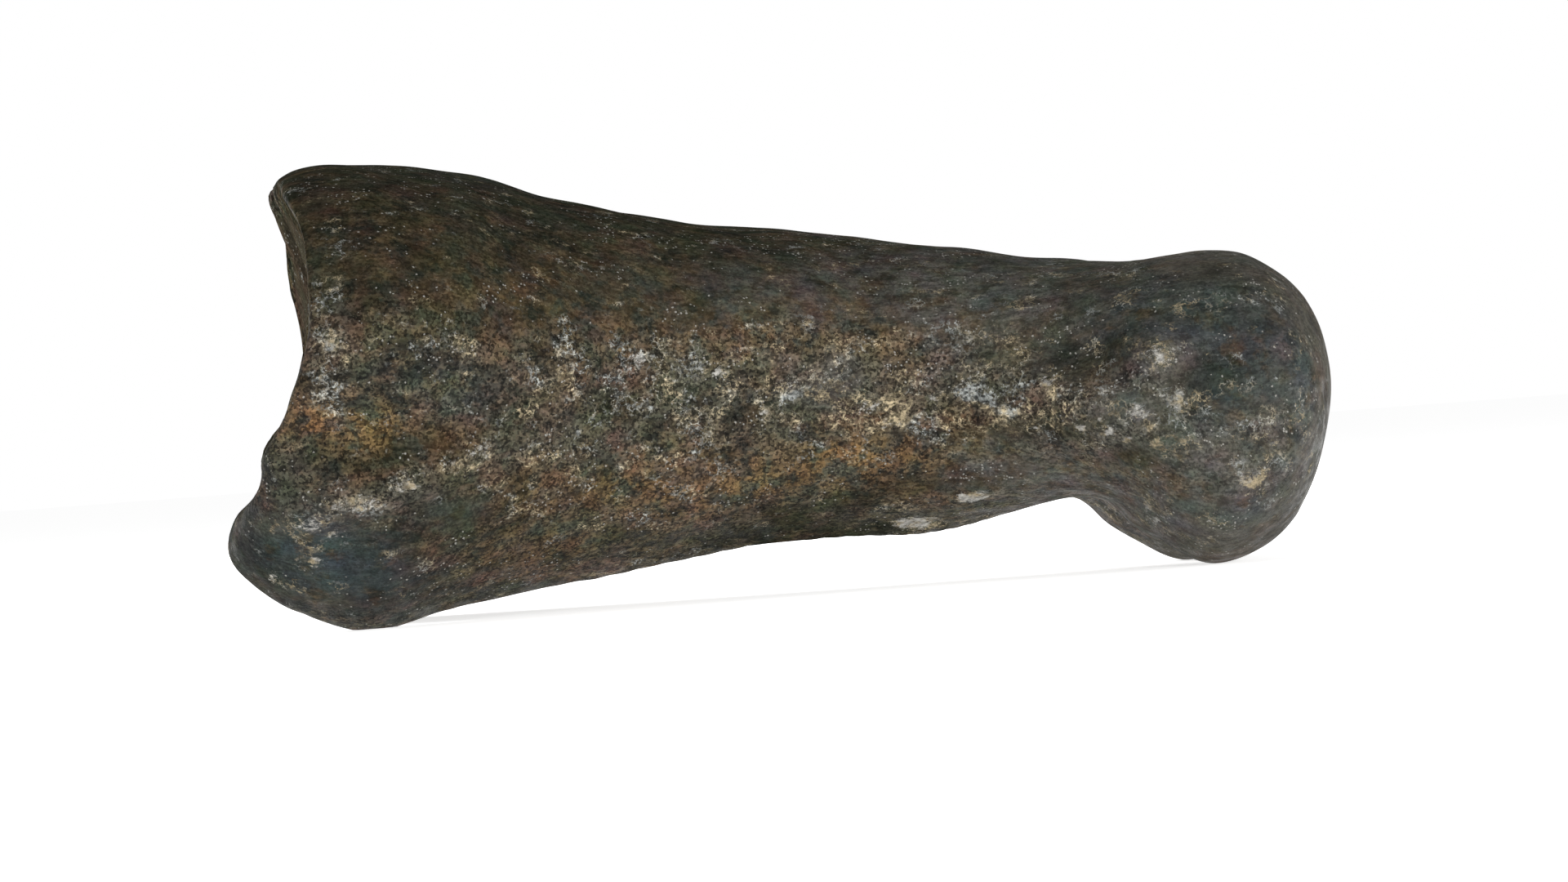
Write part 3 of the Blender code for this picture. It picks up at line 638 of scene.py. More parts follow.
    # Lightens the colour towards a pale grey: painted light where it lifts the painted shade near the dorsal
    # top, a painted highlight in the strip at x 38.5 along the toe's rim, and lighter grey places elsewhere.
    dust: Places = Places(
        near=(
            # The third patch of the next row, a strip along the toe's rim, is the painted highlight.
            (25.0, 11.6, 3.2, 1.4, 0.85), (28.0, 9.4, 1.8, 1.8, 0.7), (38.5, 9.8, 0.7, 3.6, 0.8),
            (4.6, 14.8, 2.4, 1.3, 0.5), (1.0, 16.4, 2.0, 0.9, 0.4), (32.0, 7.6, 4.4, 3.0, 0.6),
            (29.6, 3.4, 4.6, 2.6, 0.6), (36.0, 6.4, 2.4, 3.0, 0.5), (32.0, 19.0, 6.0, 3.2, 0.32),
            (16.6, 20.0, 6.0, 3.4, 0.8), (36.2, 12.0, 1.8, 2.2, 0.4), (20.0, 6.4, 5.4, 2.0, 0.75),
            (-31.4, 8.4, 4.0, 0.9, 0.3), (4.0, 22.2, 14.0, 3.0, 0.45), (27.6, 15.2, 1.8, 1.4, 0.6),
            (11.0, 22.6, 7.0, 3.0, 0.5), (25.0, 2.6, 5.0, 3.0, 1.0), (15.4, 8.6, 4.0, 1.6, 0.6),
            (15.0, 15.6, 4.0, 1.6, 0.3),
        ),
        far=(
            # The third patch of the next row, a strip along the toe's rim, is the painted highlight.
            (25.2, 11.4, 2.8, 1.6, 0.7), (32.0, 7.0, 5.0, 3.4, 0.6), (38.5, 9.8, 0.8, 3.6, 0.7),
            (2.0, 14.6, 3.0, 1.4, 0.45), (31.0, 18.6, 6.0, 3.4, 0.35), (-31.0, 7.2, 4.4, 1.4, 0.45),
            (-12.0, 15.6, 3.0, 1.4, 0.35), (18.0, 18.6, 6.0, 2.6, 0.3),
        ),
        middle=(
            (-26.0, 0.0, 5.8, 4.0, 4.0, 2.4, 0.5), (0.0, 0.0, 4.4, 10.0, 3.6, 2.4, 0.4),
            (-35.0, 3.0, 31.8, 1.6, 9.0, 1.6, 0.35), (26.0, 0.0, 22.4, 1.8, 9.0, 2.0, 0.4),
            (-14.0, 3.0, 30.0, 5.0, 4.0, 2.4, 0.35), (8.0, -2.0, 25.2, 6.0, 3.6, 2.0, 0.3),
            (36.0, -9.0, 19.0, 3.0, 4.0, 4.0, 0.35), (36.0, 9.0, 18.0, 3.0, 4.0, 4.0, 0.4),
            (38.0, 9.0, 7.0, 3.0, 4.0, 3.0, 0.4), (-33.5, 14.0, 16.0, 2.0, 5.0, 2.0, 0.35),
        ),
    )
    slate: Places = Places(
        near=(
            (-36.4, 5.8, 3.2, 2.4, 1.0), (-32.4, 4.6, 4.0, 2.6, 1.0), (-29.6, 2.6, 4.0, 2.0, 0.6),
            (33.6, 13.6, 3.6, 3.6, 0.9), (31.0, 18.4, 6.4, 3.2, 0.9), (35.0, 2.8, 3.4, 1.8, 0.85),
            (23.4, 15.6, 3.4, 1.6, 0.5), (-24.0, 7.2, 2.4, 1.4, 0.4), (2.6, 14.2, 4.0, 1.4, 0.4),
            # The first patch of the next row, a strip along the toe's rim, is a painted highlight.
            (38.6, 10.6, 1.0, 5.0, 0.8), (-24.0, 16.6, 3.0, 2.0, 0.35),
        ),
        far=(
            (-36.2, 5.2, 3.4, 2.6, 0.9), (-30.4, 3.8, 4.2, 2.4, 0.8), (33.2, 14.4, 4.0, 3.8, 0.85),
            # The last patch of the next row, a strip along the toe's rim, is a painted highlight.
            (35.0, 4.0, 3.0, 2.2, 0.6), (23.0, 16.0, 3.4, 1.6, 0.5), (38.6, 10.6, 1.0, 5.0, 0.8),
        ),
        middle=(
            (-18.0, -2.0, 31.5, 9.0, 8.0, 4.0, 0.55), (2.0, 3.0, 26.4, 9.0, 8.0, 4.0, 0.45),
            (18.0, -3.0, 23.4, 7.0, 8.0, 4.0, 0.5), (34.0, -12.0, 21.0, 5.0, 8.0, 4.0, 0.75),
            (34.0, 12.0, 21.0, 5.0, 8.0, 4.0, 0.7), (38.0, -11.0, 8.0, 4.0, 8.0, 6.0, 0.75),
            (38.0, 11.0, 8.0, 4.0, 8.0, 6.0, 0.75), (-33.0, 11.0, 1.4, 6.0, 6.0, 3.0, 0.6),
        ),
    )
    # Painted shade: the colour darkens in hollows and fossae, under the crests, along the lower margin and on
    # the joint face. paint() adds painted shade on the dorsal top as well.
    shade: Places = Places(
        near=(
            (-26.6, 12.3, 5.0, 1.3, 0.75), (22.8, 15.6, 3.2, 1.2, 0.6), (32.8, 13.8, 3.0, 1.7, 0.7),
            (29.4, 13.2, 1.4, 0.9, 0.6), (34.0, 18.0, 3.6, 2.6, 0.3), (-38.0, 4.6, 3.0, 4.0, 0.6),
            (17.6, 10.5, 5.6, 0.8, 0.8), (26.2, 8.0, 2.4, 0.9, 0.6), (12.4, 7.4, 5.4, 0.8, 0.7),
            (-10.8, 14.6, 2.4, 1.0, 0.55), (-1.0, 13.0, 2.4, 0.9, 0.55), (-20.0, 14.6, 2.6, 1.4, 0.4),
            (-5.0, 3.6, 14.0, 1.0, 0.45), (-27.8, 1.6, 8.0, 1.2, 0.4),
            (1.0, 5.4, 4.5, 1.1, 0.75), (6.5, 6.3, 4.0, 1.1, 0.65), (-30.0, 23.6, 9.0, 3.0, 0.5),
            (-18.0, 21.4, 8.0, 2.6, 0.55), (-6.0, 20.4, 6.0, 2.2, 0.35), (-28.0, 4.8, 8.0, 2.6, 0.4),
            (-20.0, 8.0, 9.0, 2.6, 0.4),
        ),
        far=(
            (-28.0, 12.2, 4.6, 1.3, 0.7), (22.8, 15.8, 3.0, 1.3, 0.7), (31.4, 13.0, 2.6, 1.8, 0.55),
            (18.0, 9.2, 5.0, 0.8, 0.6), (-4.0, 12.8, 3.0, 1.0, 0.5), (8.0, 7.2, 6.0, 0.9, 0.6),
            (-5.0, 3.6, 14.0, 1.0, 0.45),
        ),
        middle=(
            (-35.0, -15.0, 25.0, 2.4, 8.0, 8.0, 0.7), (-34.0, 14.0, 25.0, 3.0, 7.0, 8.0, 0.35),
            (2.0, -6.0, 4.0, 9.0, 4.0, 1.4, 0.8), (-32.0, 0.0, 24.0, 4.0, 3.0, 9.0, 0.5),
        ),
    )
    ragged_reach: float = 1.1
    ragged_pitch: float = 3.2
    ragged_seeds: tuple[int, ...] = (11, 23, 37)
    flake_raggedness: float = 0.35
    dorsal_shade: float = 0.7
    dorsal_shade_z: Stretch = (0.1, 0.95)
    dorsal_shade_fade: float = 0.4
    dorsal_shade_fade_x: Stretch = (8.0, 26.0)
    full_matt: float = 0.7
    worn_off_crust: float = 0.75
    matt_rim_rows: int = 10
    condyle_worn_x: Stretch = (25.5, 29.0)
    condyle_side_facing: Stretch = (0.75, 0.45)

    def worn(self, points: np.ndarray, normals: np.ndarray, face_rows: int) -> np.ndarray:
        """How smooth and joint-like the skin is: 1 on the joint face and on the turned part of the toe."""
        side_on = np.abs(normals[..., 1])
        turned = grow(points[..., 0], self.condyle_worn_x) * grow(side_on, self.condyle_side_facing)
        face = np.zeros(points.shape[:-1])
        face[:face_rows] = 1
        return np.maximum(smooth_step(turned), face)

    def paint(self, points: np.ndarray, normals: np.ndarray, face_rows: int) -> dict[Stain, np.ndarray]:
        """Every stain's strength at every point of the skin.

        The patches are read at points that clouds have shifted, which makes their edges ragged.

        Args:
            points: The smooth skin, in millimetres.
            normals: Its outward normals.
            face_rows: How many of the first rings belong to the joint face.

        Returns:
            One array for each stain, from 0 to 1.
        """
        clouds = [cloud(points, self.ragged_pitch, seed, octaves=3) for seed in self.ragged_seeds]
        shift = self.ragged_reach * np.stack(clouds, -1)
        # Painted shade on the dorsal top: the colour darkens where the skin faces up, less so towards the
        # toe.
        dorsal = smooth_step(grow(normals[..., 2], self.dorsal_shade_z))
        dorsal *= 1 - self.dorsal_shade_fade * grow(points[..., 0], self.dorsal_shade_fade_x)
        worn = self.worn(points, normals, face_rows)
        crust, rust, slate, shade, dust = (
            places.strength(points + shift)
            for places in (self.crust, self.rust, self.slate, self.shade, self.dust)
        )
        flakes = self.flakes.strength(points + self.flake_raggedness * shift)
        shade += self.dorsal_shade * dorsal
        matt = shade / self.full_matt
        matt[:face_rows + self.matt_rim_rows] = 1
        return {
            Stain.CRUST: crust * (1 - self.worn_off_crust * worn),
            Stain.RUST: rust,
            Stain.SLATE: slate,
            Stain.SHADE: np.clip(shade, 0, 1),
            Stain.FLAKE: flakes * (1 - worn),
            Stain.DUST: dust,
            Stain.MATT: np.clip(matt, 0, 1),
            Stain.WORN: worn,
        }


@dataclass
class Relief:
    """The fine relief that the real skin has and the smooth form lacks, as heights in millimetres."""

    grain: float = 0.05
    grain_pitch: float = 1.6
    grain_along: float = 6.0
    grain_seed: int = 51
    roughness: float = 0.11
    roughness_pitch: float = 2.6
    roughness_seed: int = 67
    least_rough: float = 0.15
    worn_smooth: float = 0.8
    crust: float = 0.16
    crust_pitch: float = 1.1
    crust_seed: int = 83
    crust_cover: float = 0.3
    pore_depth: float = 0.3
    pore_pitch: float = 2.4
    pore_seed: int = 97
    pore_share: float = 0.45
    joint_pore_depth: float = 0.18
    joint_pore_pitch: float = 3.6
    joint_pore_seed: int = 131
    joint_pore_share: float = 0.22
    full_sunken: float = 0.2
    rough_places: Line = (
        (-30.0, 0.0, 12.0, 9.0, 30.0, 12.0, 0.9), (28.0, 0.0, 11.0, 7.0, 30.0, 8.0, 0.7),
        (0.0, 0.0, 10.0, 30.0, 30.0, 8.0, 0.6),
    )

    def heights(self, points: np.ndarray, stains: dict[Stain, np.ndarray]) -> np.ndarray:
        """The relief at each point.

        Grain is a cloud drawn out along X. Roughness is a cloud of many sizes, strongest near the joint ends
        and the palmar side. Crust is a fine cloud, raised by crust_cover and cut off at 0, only where crust
        lies. Pores are the bells of the pores function, sunk in the rough places, with fewer on worn skin.

        Args:
            points: The form's skin, in millimetres.
            stains: The strengths from the stain map.

        Returns:
            One height for each point.
        """
        worn = stains[Stain.WORN]
        rough = sum(patch.reach(points) for patch in patches_at(self.rough_places))
        rough = np.clip(rough, self.least_rough, 1) * (1 - self.worn_smooth * worn)
        fibres = cloud(points, self.grain_pitch, self.grain_seed, octaves=2, along=self.grain_along)
        grain = self.grain * fibres * (1 - worn)
        uneven = self.roughness * rough * cloud(points, self.roughness_pitch, self.roughness_seed, octaves=3)
        clumps = cloud(points, self.crust_pitch, self.crust_seed, octaves=2)
        raised = self.crust * stains[Stain.CRUST] * np.clip(self.crust_cover + clumps, 0, 1)
        pitted = self.pore_depth * rough * pores(points, self.pore_pitch, self.pore_seed, self.pore_share)
        pricks = pores(points, self.joint_pore_pitch, self.joint_pore_seed, self.joint_pore_share)
        return grain + uneven + raised - pitted - self.joint_pore_depth * worn * pricks


@dataclass(frozen=True)
class Clouds:
    """A cloudy noise of the material, about 0.5 in the middle, and how a finish reads it.

    Its coarsest lumps are size_mm long, and along times longer along X. Detail says how many finer sizes it
    holds, and sharp how strong they are. From low to high a reading steps softly from out[0] to out[1].
    """

    size_mm: float
    detail: float
    low: float = 0.0
    high: float = 1.0
    out: Stretch = (0.0, 1.0)
    along: float = 1.0
    sharp: float = 0.6


class NodeBench:
    """A short way to lay out the nodes of one material."""

    def __init__(self, material: bpy.types.Material) -> None:
        """Takes the material's node tree and its Object coordinates."""
        self.tree = material.node_tree
        self.coordinates = self.add("ShaderNodeTexCoord").outputs["Object"]

    def feed(self, socket: Socket, value: Feed) -> None:
        """Gives an input socket a value, or the socket that feeds it."""
        if isinstance(value, Socket):
            self.tree.links.new(value, socket)
        else:
            socket.default_value = value

    def add(self, kind: str, inputs: dict | None = None, **settings: object) -> bpy.types.Node:
        """Adds a node.

        Args:
            kind: The node's type name.
            inputs: For each input socket, by name or number, a value or the socket that feeds it.
            **settings: Properties of the node itself.

        Returns:
            The new node.
        """
        node = self.tree.nodes.new(kind)
        for name, value in settings.items():
            setattr(node, name, value)
        for name, value in (inputs or {}).items():
            self.feed(node.inputs[name], value)
        return node

    def math(self, operation: str, a: Feed, b: Feed = 0.0) -> Socket:
        """One sum of two numbers."""
        return self.add("ShaderNodeMath", {0: a, 1: b}, operation=operation).outputs[0]

    def times(self, *factors: Feed) -> Socket:
        """Numbers multiplied."""
        return functools.reduce(functools.partial(self.math, "MULTIPLY"), factors)

    def plus(self, *parts: Feed) -> Socket:
        """Numbers added."""
        return functools.reduce(functools.partial(self.math, "ADD"), parts)

    def minus(self, a: Feed, b: Feed) -> Socket:
        """The second number taken from the first."""
        return self.math("SUBTRACT", a, b)

    def fit(self, value: Feed, low: float, high: float, out: Stretch = (0.0, 1.0)) -> Socket:
        """A value's place between low and high, softly stepped from one number to another."""
        sizes = {"Value": value, "From Min": low, "From Max": high, "To Min": out[0], "To Max": out[1]}
        return self.add("ShaderNodeMapRange", sizes, interpolation_type="SMOOTHSTEP").outputs["Result"]

    def blend(self, share: Feed, a: Feed, b: Feed, mode: str = "MIX") -> Socket:
        """Two colours blended by a share."""
        node = self.add("ShaderNodeMix", data_type="RGBA", blend_type=mode)
        for name, value in (("Factor_Float", share), ("A_Color", a), ("B_Color", b)):
            self.feed(next(s for s in node.inputs if s.identifier == name), value)
        return next(s for s in node.outputs if s.identifier == "Result_Color")

    def lit(self, colour: Socket, strength: Feed) -> Socket:
        """A colour made lighter or darker: multiplied by a number."""
        grey = self.add("ShaderNodeCombineColor", {0: strength, 1: strength, 2: strength}).outputs[0]
        return self.blend(1.0, colour, grey, "MULTIPLY")

    def scaled(self, vector: Socket, factor: float) -> Socket:
        """A vector or colour times a number."""
        return self.add("ShaderNodeVectorMath", {0: vector, "Scale": factor}, operation="SCALE").outputs[0]

    def noise_node(self, clouds: Clouds) -> bpy.types.Node:
        """The node of a cloudy noise, drawn out along the bone by squeezing its coordinates along X."""
        place = self.coordinates
        if clouds.along != 1.0:
            squeeze = {"Vector": place, "Scale": (1 / clouds.along, 1.0, 1.0)}
            place = self.add("ShaderNodeMapping", squeeze).outputs["Vector"]
        sizes = {"Vector": place, "Scale": 1 / (clouds.size_mm * MM)}
        return self.add("ShaderNodeTexNoise", sizes | {"Detail": clouds.detail, "Roughness": clouds.sharp})

    def noise(self, clouds: Clouds) -> Socket:
        """The value of a cloudy noise."""
        return self.noise_node(clouds).outputs["Fac"]

    def read(self, clouds: Clouds, value: Socket | None = None) -> Socket:
        """What a finish reads off a cloudy noise, or off a value that was made from it."""
        value = self.noise(clouds) if value is None else value
        return self.fit(value, clouds.low, clouds.high, clouds.out)

    def threads(self, clouds: Clouds) -> Socket:
        """Crooked thin lines: 1 where a cloudy noise passes its middle value, falling to 0 a width away."""
        apart = self.math("ABSOLUTE", self.minus(self.noise(clouds), 0.5))
        return self.read(clouds, apart)

    def tints(self, clouds: Clouds) -> Socket:
        """A cloudy change of hue, about white in the middle."""
        return self.scaled(self.noise_node(clouds).outputs["Color"], 2.0)

    def grains(self, size_mm: float, shake: float = 0.9) -> tuple[Socket, Socket]:
        """Small cells of random tone, with shaken edges.

        Args:
            size_mm: The size of a cell.
            shake: How far a point may be shifted before its cell is found, in cells.

        Returns:
            The sockets of each cell's tone, from 0 to 1, and of the distance from its middle.
        """
        pitch = {"Scale": 1 / (size_mm * MM)}
        noise = self.add("ShaderNodeTexNoise", {"Vector": self.coordinates} | pitch)
        moved = self.scaled(noise.outputs["Color"], size_mm * MM * shake)
        place = self.add("ShaderNodeVectorMath", {0: self.coordinates, 1: moved}, operation="ADD").outputs[0]
        cells = self.add("ShaderNodeTexVoronoi", {"Vector": place} | pitch)
        tone = self.add("ShaderNodeSeparateColor", {0: cells.outputs["Color"]}).outputs[0]
        return tone, cells.outputs["Distance"]

    def stain(self, stain: Stain, out: Stretch | None = None) -> Socket:
        """A stain's strength, from the mesh, or a number that it steps softly from out[0] to out[1]."""
        strength = self.add("ShaderNodeAttribute", attribute_name=stain.value).outputs["Fac"]
        return strength if out is None else self.fit(strength, 0.0, 1.0, out)


@dataclass(frozen=True)
class FossilFinish:
    """Dark bone, rust, slate-blue, pale grey, pale crust and flakes, painted shade, light and glints; colours
    are linear.
    """

    deep: Colour = (0.0130, 0.0130, 0.0095, 1.0)
    # The colour that the painted shade darkens towards.
    painted_shade: Colour = (0.0190, 0.0200, 0.0140, 1.0)
    brown: Colour = (0.070, 0.052, 0.031, 1.0)
    olive: Colour = (0.042, 0.042, 0.028, 1.0)
    red: Colour = (0.068, 0.042, 0.029, 1.0)
    rust: Colour = (0.120, 0.071, 0.027, 1.0)
    slate: Colour = (0.030, 0.043, 0.048, 1.0)
    polish: Colour = (0.052, 0.043, 0.030, 1.0)
    # The pale grey of the painted light and highlight, and of the lighter grey places.
    dust: Colour = (0.084, 0.086, 0.077, 1.0)
    tan: Colour = (0.280, 0.230, 0.145, 1.0)
    chalk: Colour = (0.210, 0.220, 0.210, 1.0)
    haze: Colour = (0.094, 0.084, 0.063, 1.0)
    # A pale white for some flakes, and the colour of the painted glints, tiny specks of highlight.
    white_and_glint: Colour = (0.360, 0.350, 0.320, 1.0)

    # The body: its mottling, where each colour comes through, and how strong the joint faces' polish is.
    mottle: Clouds = Clouds(1.9, 9.0, 0.43, 0.58, along=1.5, sharp=0.74)
    mottle_in_shade: Step = (0.45, 0.66, (0.92, 0.4))
    broad: Clouds = Clouds(5.0, 7.0, 0.45, 0.56, (0.0, 0.8))
    reddish: Clouds = Clouds(3.4, 7.0, 0.52, 0.60, (0.0, 0.7), along=1.6)
    rusty: Clouds = Clouds(1.3, 8.0, 0.42, 0.54)
    bluish: Clouds = Clouds(2.2, 8.0, 0.36, 0.48)
    grey_clouds: Clouds = Clouds(1.6, 8.0, 0.38, 0.56, (0.3, 1.0))
    hues: Clouds = Clouds(2.6, 6.0)
    hue_share: float = 0.3
    polish_share: Stretch = (0.0, 0.5)

    # The crust: a haze, threads and flecks. Crust pulls the last two on, and sunken places hold flecks off.
    clumps: Clouds = Clouds(2.4, 9.0, 0.44, 0.56, (0.0, 0.5), along=1.3, sharp=0.74)
    crust_kind: Clouds = Clouds(3.0, 6.0, 0.44, 0.56)
    crust_light: Clouds = Clouds(0.9, 6.0, 0.36, 0.64, (0.35, 1.2), sharp=0.7)
    wide_threads: Clouds = Clouds(1.5, 5.0, 0.022, 0.0)
    fine_threads: Clouds = Clouds(0.8, 4.0, 0.03, 0.0)
    thread_places: Clouds = Clouds(1.7, 5.0, 0.56, 0.66, (0.0, 0.95), along=1.4)
    thread_pull: float = 0.18
    fleck_edge: Stretch = (0.70, 0.745)
    fleck_pull: float = 0.19
    fleck_hold: float = 0.12

    # The grain: pits, gaps, fibres and cells that darken or lighten, calmer where a stain lies.
    pitting: Clouds = Clouds(0.8, 6.0, 0.37, 0.46, (0.3, 1.0), sharp=0.8)
    gap_threads: Clouds = Clouds(1.2, 6.0, 0.02, 0.0)
    gap_tone: Stretch = (1.0, 0.4)
    fibres: Clouds = Clouds(0.45, 6.0, 0.34, 0.66, (0.7, 1.35), along=5.0, sharp=0.75)
    cell_size: float = 0.17
    cell_tone: Stretch = (0.3, 1.85)
    sunken_tone: Stretch = (1.0, 0.35)
    calm: Step = (0.2, 0.9, (0.0, 0.65))
    calm_tone: float = 0.85

    # The flakes, and the painted glints: clusters of tiny pale specks of highlight.
    flake_edge: Clouds = Clouds(0.6, 8.0, 2.3, 2.55, (0.0, 0.95), along=1.5, sharp=0.85)
    flake_raggedness: float = 3.6
    flake_kind: Clouds = Clouds(2.0, 3.0, 0.44, 0.56)
    flake_light: Clouds = Clouds(0.4, 5.0, 0.36, 0.64, (0.45, 1.3), sharp=0.75)
    glint_size: float = 0.19
    glint_clusters: Clouds = Clouds(2.2, 7.0, 0.47, 0.68, (0.0, 0.22), along=2.0, sharp=0.7)
    glint_tone: Stretch = (1.0, 1.03)
    glint_edge: Step = (0.5, 0.3, (0.0, 0.65))

    # The gloss and the finest relief.
    roughness: Clouds = Clouds(1.2, 5.0, 0.35, 0.65, (0.45, 0.8))
    slate_roughness: float = -0.14
    specular: Stretch = (0.16, 0.0)
    exported_specular: float = 0.08
    bump_lumps: Clouds = Clouds(0.7, 8.0, sharp=0.75)
    bump_cell_size: float = 0.3
    bump_cell_share: float = 0.25
    bump_fibres: Clouds = Clouds(0.6, 6.0, along=6.0, sharp=0.7)
    bump_where_worn: Stretch = (1.0, 0.3)
    bump_strength: float = 0.9
    bump_depth: float = 0.26 * MM

    def colour(self, bench: NodeBench) -> Socket:
        """The skin's colour, painted shade and light in it, from the deep brown body up to the crust, flakes
        and painted glints on top.
        """
        mottle = bench.noise(self.mottle)
        body = bench.blend(bench.read(self.mottle, mottle), self.deep, self.brown)
        body = bench.blend(bench.read(self.broad), body, self.olive)
        body = bench.blend(bench.read(self.reddish), body, self.red)
        # The stains' colours: the shade stain's is painted shade, and the pale grey's is partly painted
        # light.
        for stain, clouds, colour in (
            (Stain.RUST, bench.read(self.rusty), self.rust),
            (Stain.SLATE, bench.read(self.bluish), self.slate),
            (Stain.SHADE, bench.fit(mottle, *self.mottle_in_shade), self.painted_shade),
            (Stain.DUST, bench.read(self.grey_clouds), self.dust),
        ):
            body = bench.blend(bench.times(bench.stain(stain), clouds), body, colour)
        body = bench.blend(self.hue_share, body, bench.tints(self.hues), "MULTIPLY")
        body = bench.blend(bench.stain(Stain.WORN, self.polish_share), body, self.polish)
        for layer in (self.crusted, self.grained, self.flaked):
            body = layer(bench, body)
        return body

    def pale(self, bench: NodeBench, kind: Clouds, other: Colour, light: Clouds) -> Socket:
        """A pale colour: tan in some places and another colour in others, here lighter and there darker."""
        return bench.lit(bench.blend(bench.read(kind), self.tan, other), bench.read(light))

    def crusted(self, bench: NodeBench, body: Socket) -> Socket:
        """Lays the crust over the body: a thin haze, crooked pale threads on it, and thicker pale flecks."""
        crust = bench.stain(Stain.CRUST)
        clumps = bench.noise(self.clumps)
        body = bench.blend(bench.times(crust, bench.read(self.clumps, clumps)), body, self.haze)
        pale = self.pale(bench, self.crust_kind, self.chalk, self.crust_light)
        lines = bench.math("MAXIMUM", bench.threads(self.wide_threads), bench.threads(self.fine_threads))
        places = bench.plus(bench.noise(self.thread_places), bench.times(crust, self.thread_pull))
        body = bench.blend(bench.times(lines, bench.read(self.thread_places, places)), body, pale)
        thick = bench.plus(clumps, bench.times(crust, self.fleck_pull))
        thick = bench.minus(thick, bench.times(bench.stain(Stain.SUNKEN), self.fleck_hold))
        return bench.blend(bench.fit(thick, *self.fleck_edge), body, pale)

    def grained(self, bench: NodeBench, body: Socket) -> Socket:
        """Gives the colour its grain: dark sunken places and gaps, fibres along the bone, and small cells."""
        gaps = bench.times(bench.threads(self.gap_threads), bench.stain(Stain.CRUST))
        cells, _ = bench.grains(self.cell_size)
        strength = bench.times(
            bench.read(self.pitting),
            bench.fit(cells, 0.0, 1.0, self.cell_tone),
            bench.fit(gaps, 0.0, 1.0, self.gap_tone),
        )
        stains = bench.plus(*map(bench.stain, (Stain.SHADE, Stain.SLATE, Stain.DUST, Stain.WORN)))
        evened = bench.times(bench.fit(stains, *self.calm), bench.minus(self.calm_tone, strength))
        fibres = bench.times(bench.stain(Stain.SUNKEN, self.sunken_tone), bench.read(self.fibres))
        return bench.lit(body, bench.times(bench.plus(strength, evened), fibres))

    def flaked(self, bench: NodeBench, body: Socket) -> Socket:
        """Adds the pale flakes that lie at certain places, and clusters of painted glints, tiny pale specks
        of highlight.
        """
        ragged = bench.times(bench.noise(self.flake_edge), self.flake_raggedness)
        flake = bench.read(self.flake_edge, bench.plus(bench.stain(Stain.FLAKE), ragged))
        body = bench.blend(flake, body, self.pale(bench, self.flake_kind, self.white_and_glint, self.flake_light))
        tone, apart = bench.grains(self.glint_size)
        clustered = bench.fit(bench.plus(tone, bench.read(self.glint_clusters)), *self.glint_tone)
        return bench.blend(bench.times(clustered, bench.fit(apart, *self.glint_edge)), body, self.white_and_glint)

    def surface(self, bench: NodeBench) -> tuple[Socket, Socket]:
        """The roughness, and the normal that the finest relief gives."""
        slate = bench.times(bench.stain(Stain.SLATE), self.slate_roughness)
        rough = bench.plus(bench.read(self.roughness), slate)
        tone, _ = bench.grains(self.bump_cell_size)
        cells = bench.times(tone, self.bump_cell_share)
        fine = bench.plus(bench.noise(self.bump_lumps), cells, bench.noise(self.bump_fibres))
        height = bench.times(fine, bench.stain(Stain.WORN, self.bump_where_worn))
        relief = {"Height": height, "Strength": self.bump_strength, "Distance": self.bump_depth}
        return rough, bench.add("ShaderNodeBump", relief).outputs["Normal"]

    def build(self) -> bpy.types.Material:
        """Makes the material. The plain specular value is what an export reads in place of the linked one."""
        material = bpy.data.materials.new("fossil_bone_skin")
        material.use_nodes = True
        shader = material.node_tree.nodes["Principled BSDF"]
        shader.inputs["Specular IOR Level"].default_value = self.exported_specular
        bench = NodeBench(material)
        roughness, normal = self.surface(bench)
        for name, socket in (
            ("Base Color", self.colour(bench)),
            ("Specular IOR Level", bench.stain(Stain.MATT, self.specular)),
            ("Roughness", roughness),
            ("Normal", normal),
        ):
            bench.feed(shader.inputs[name], socket)
        return material


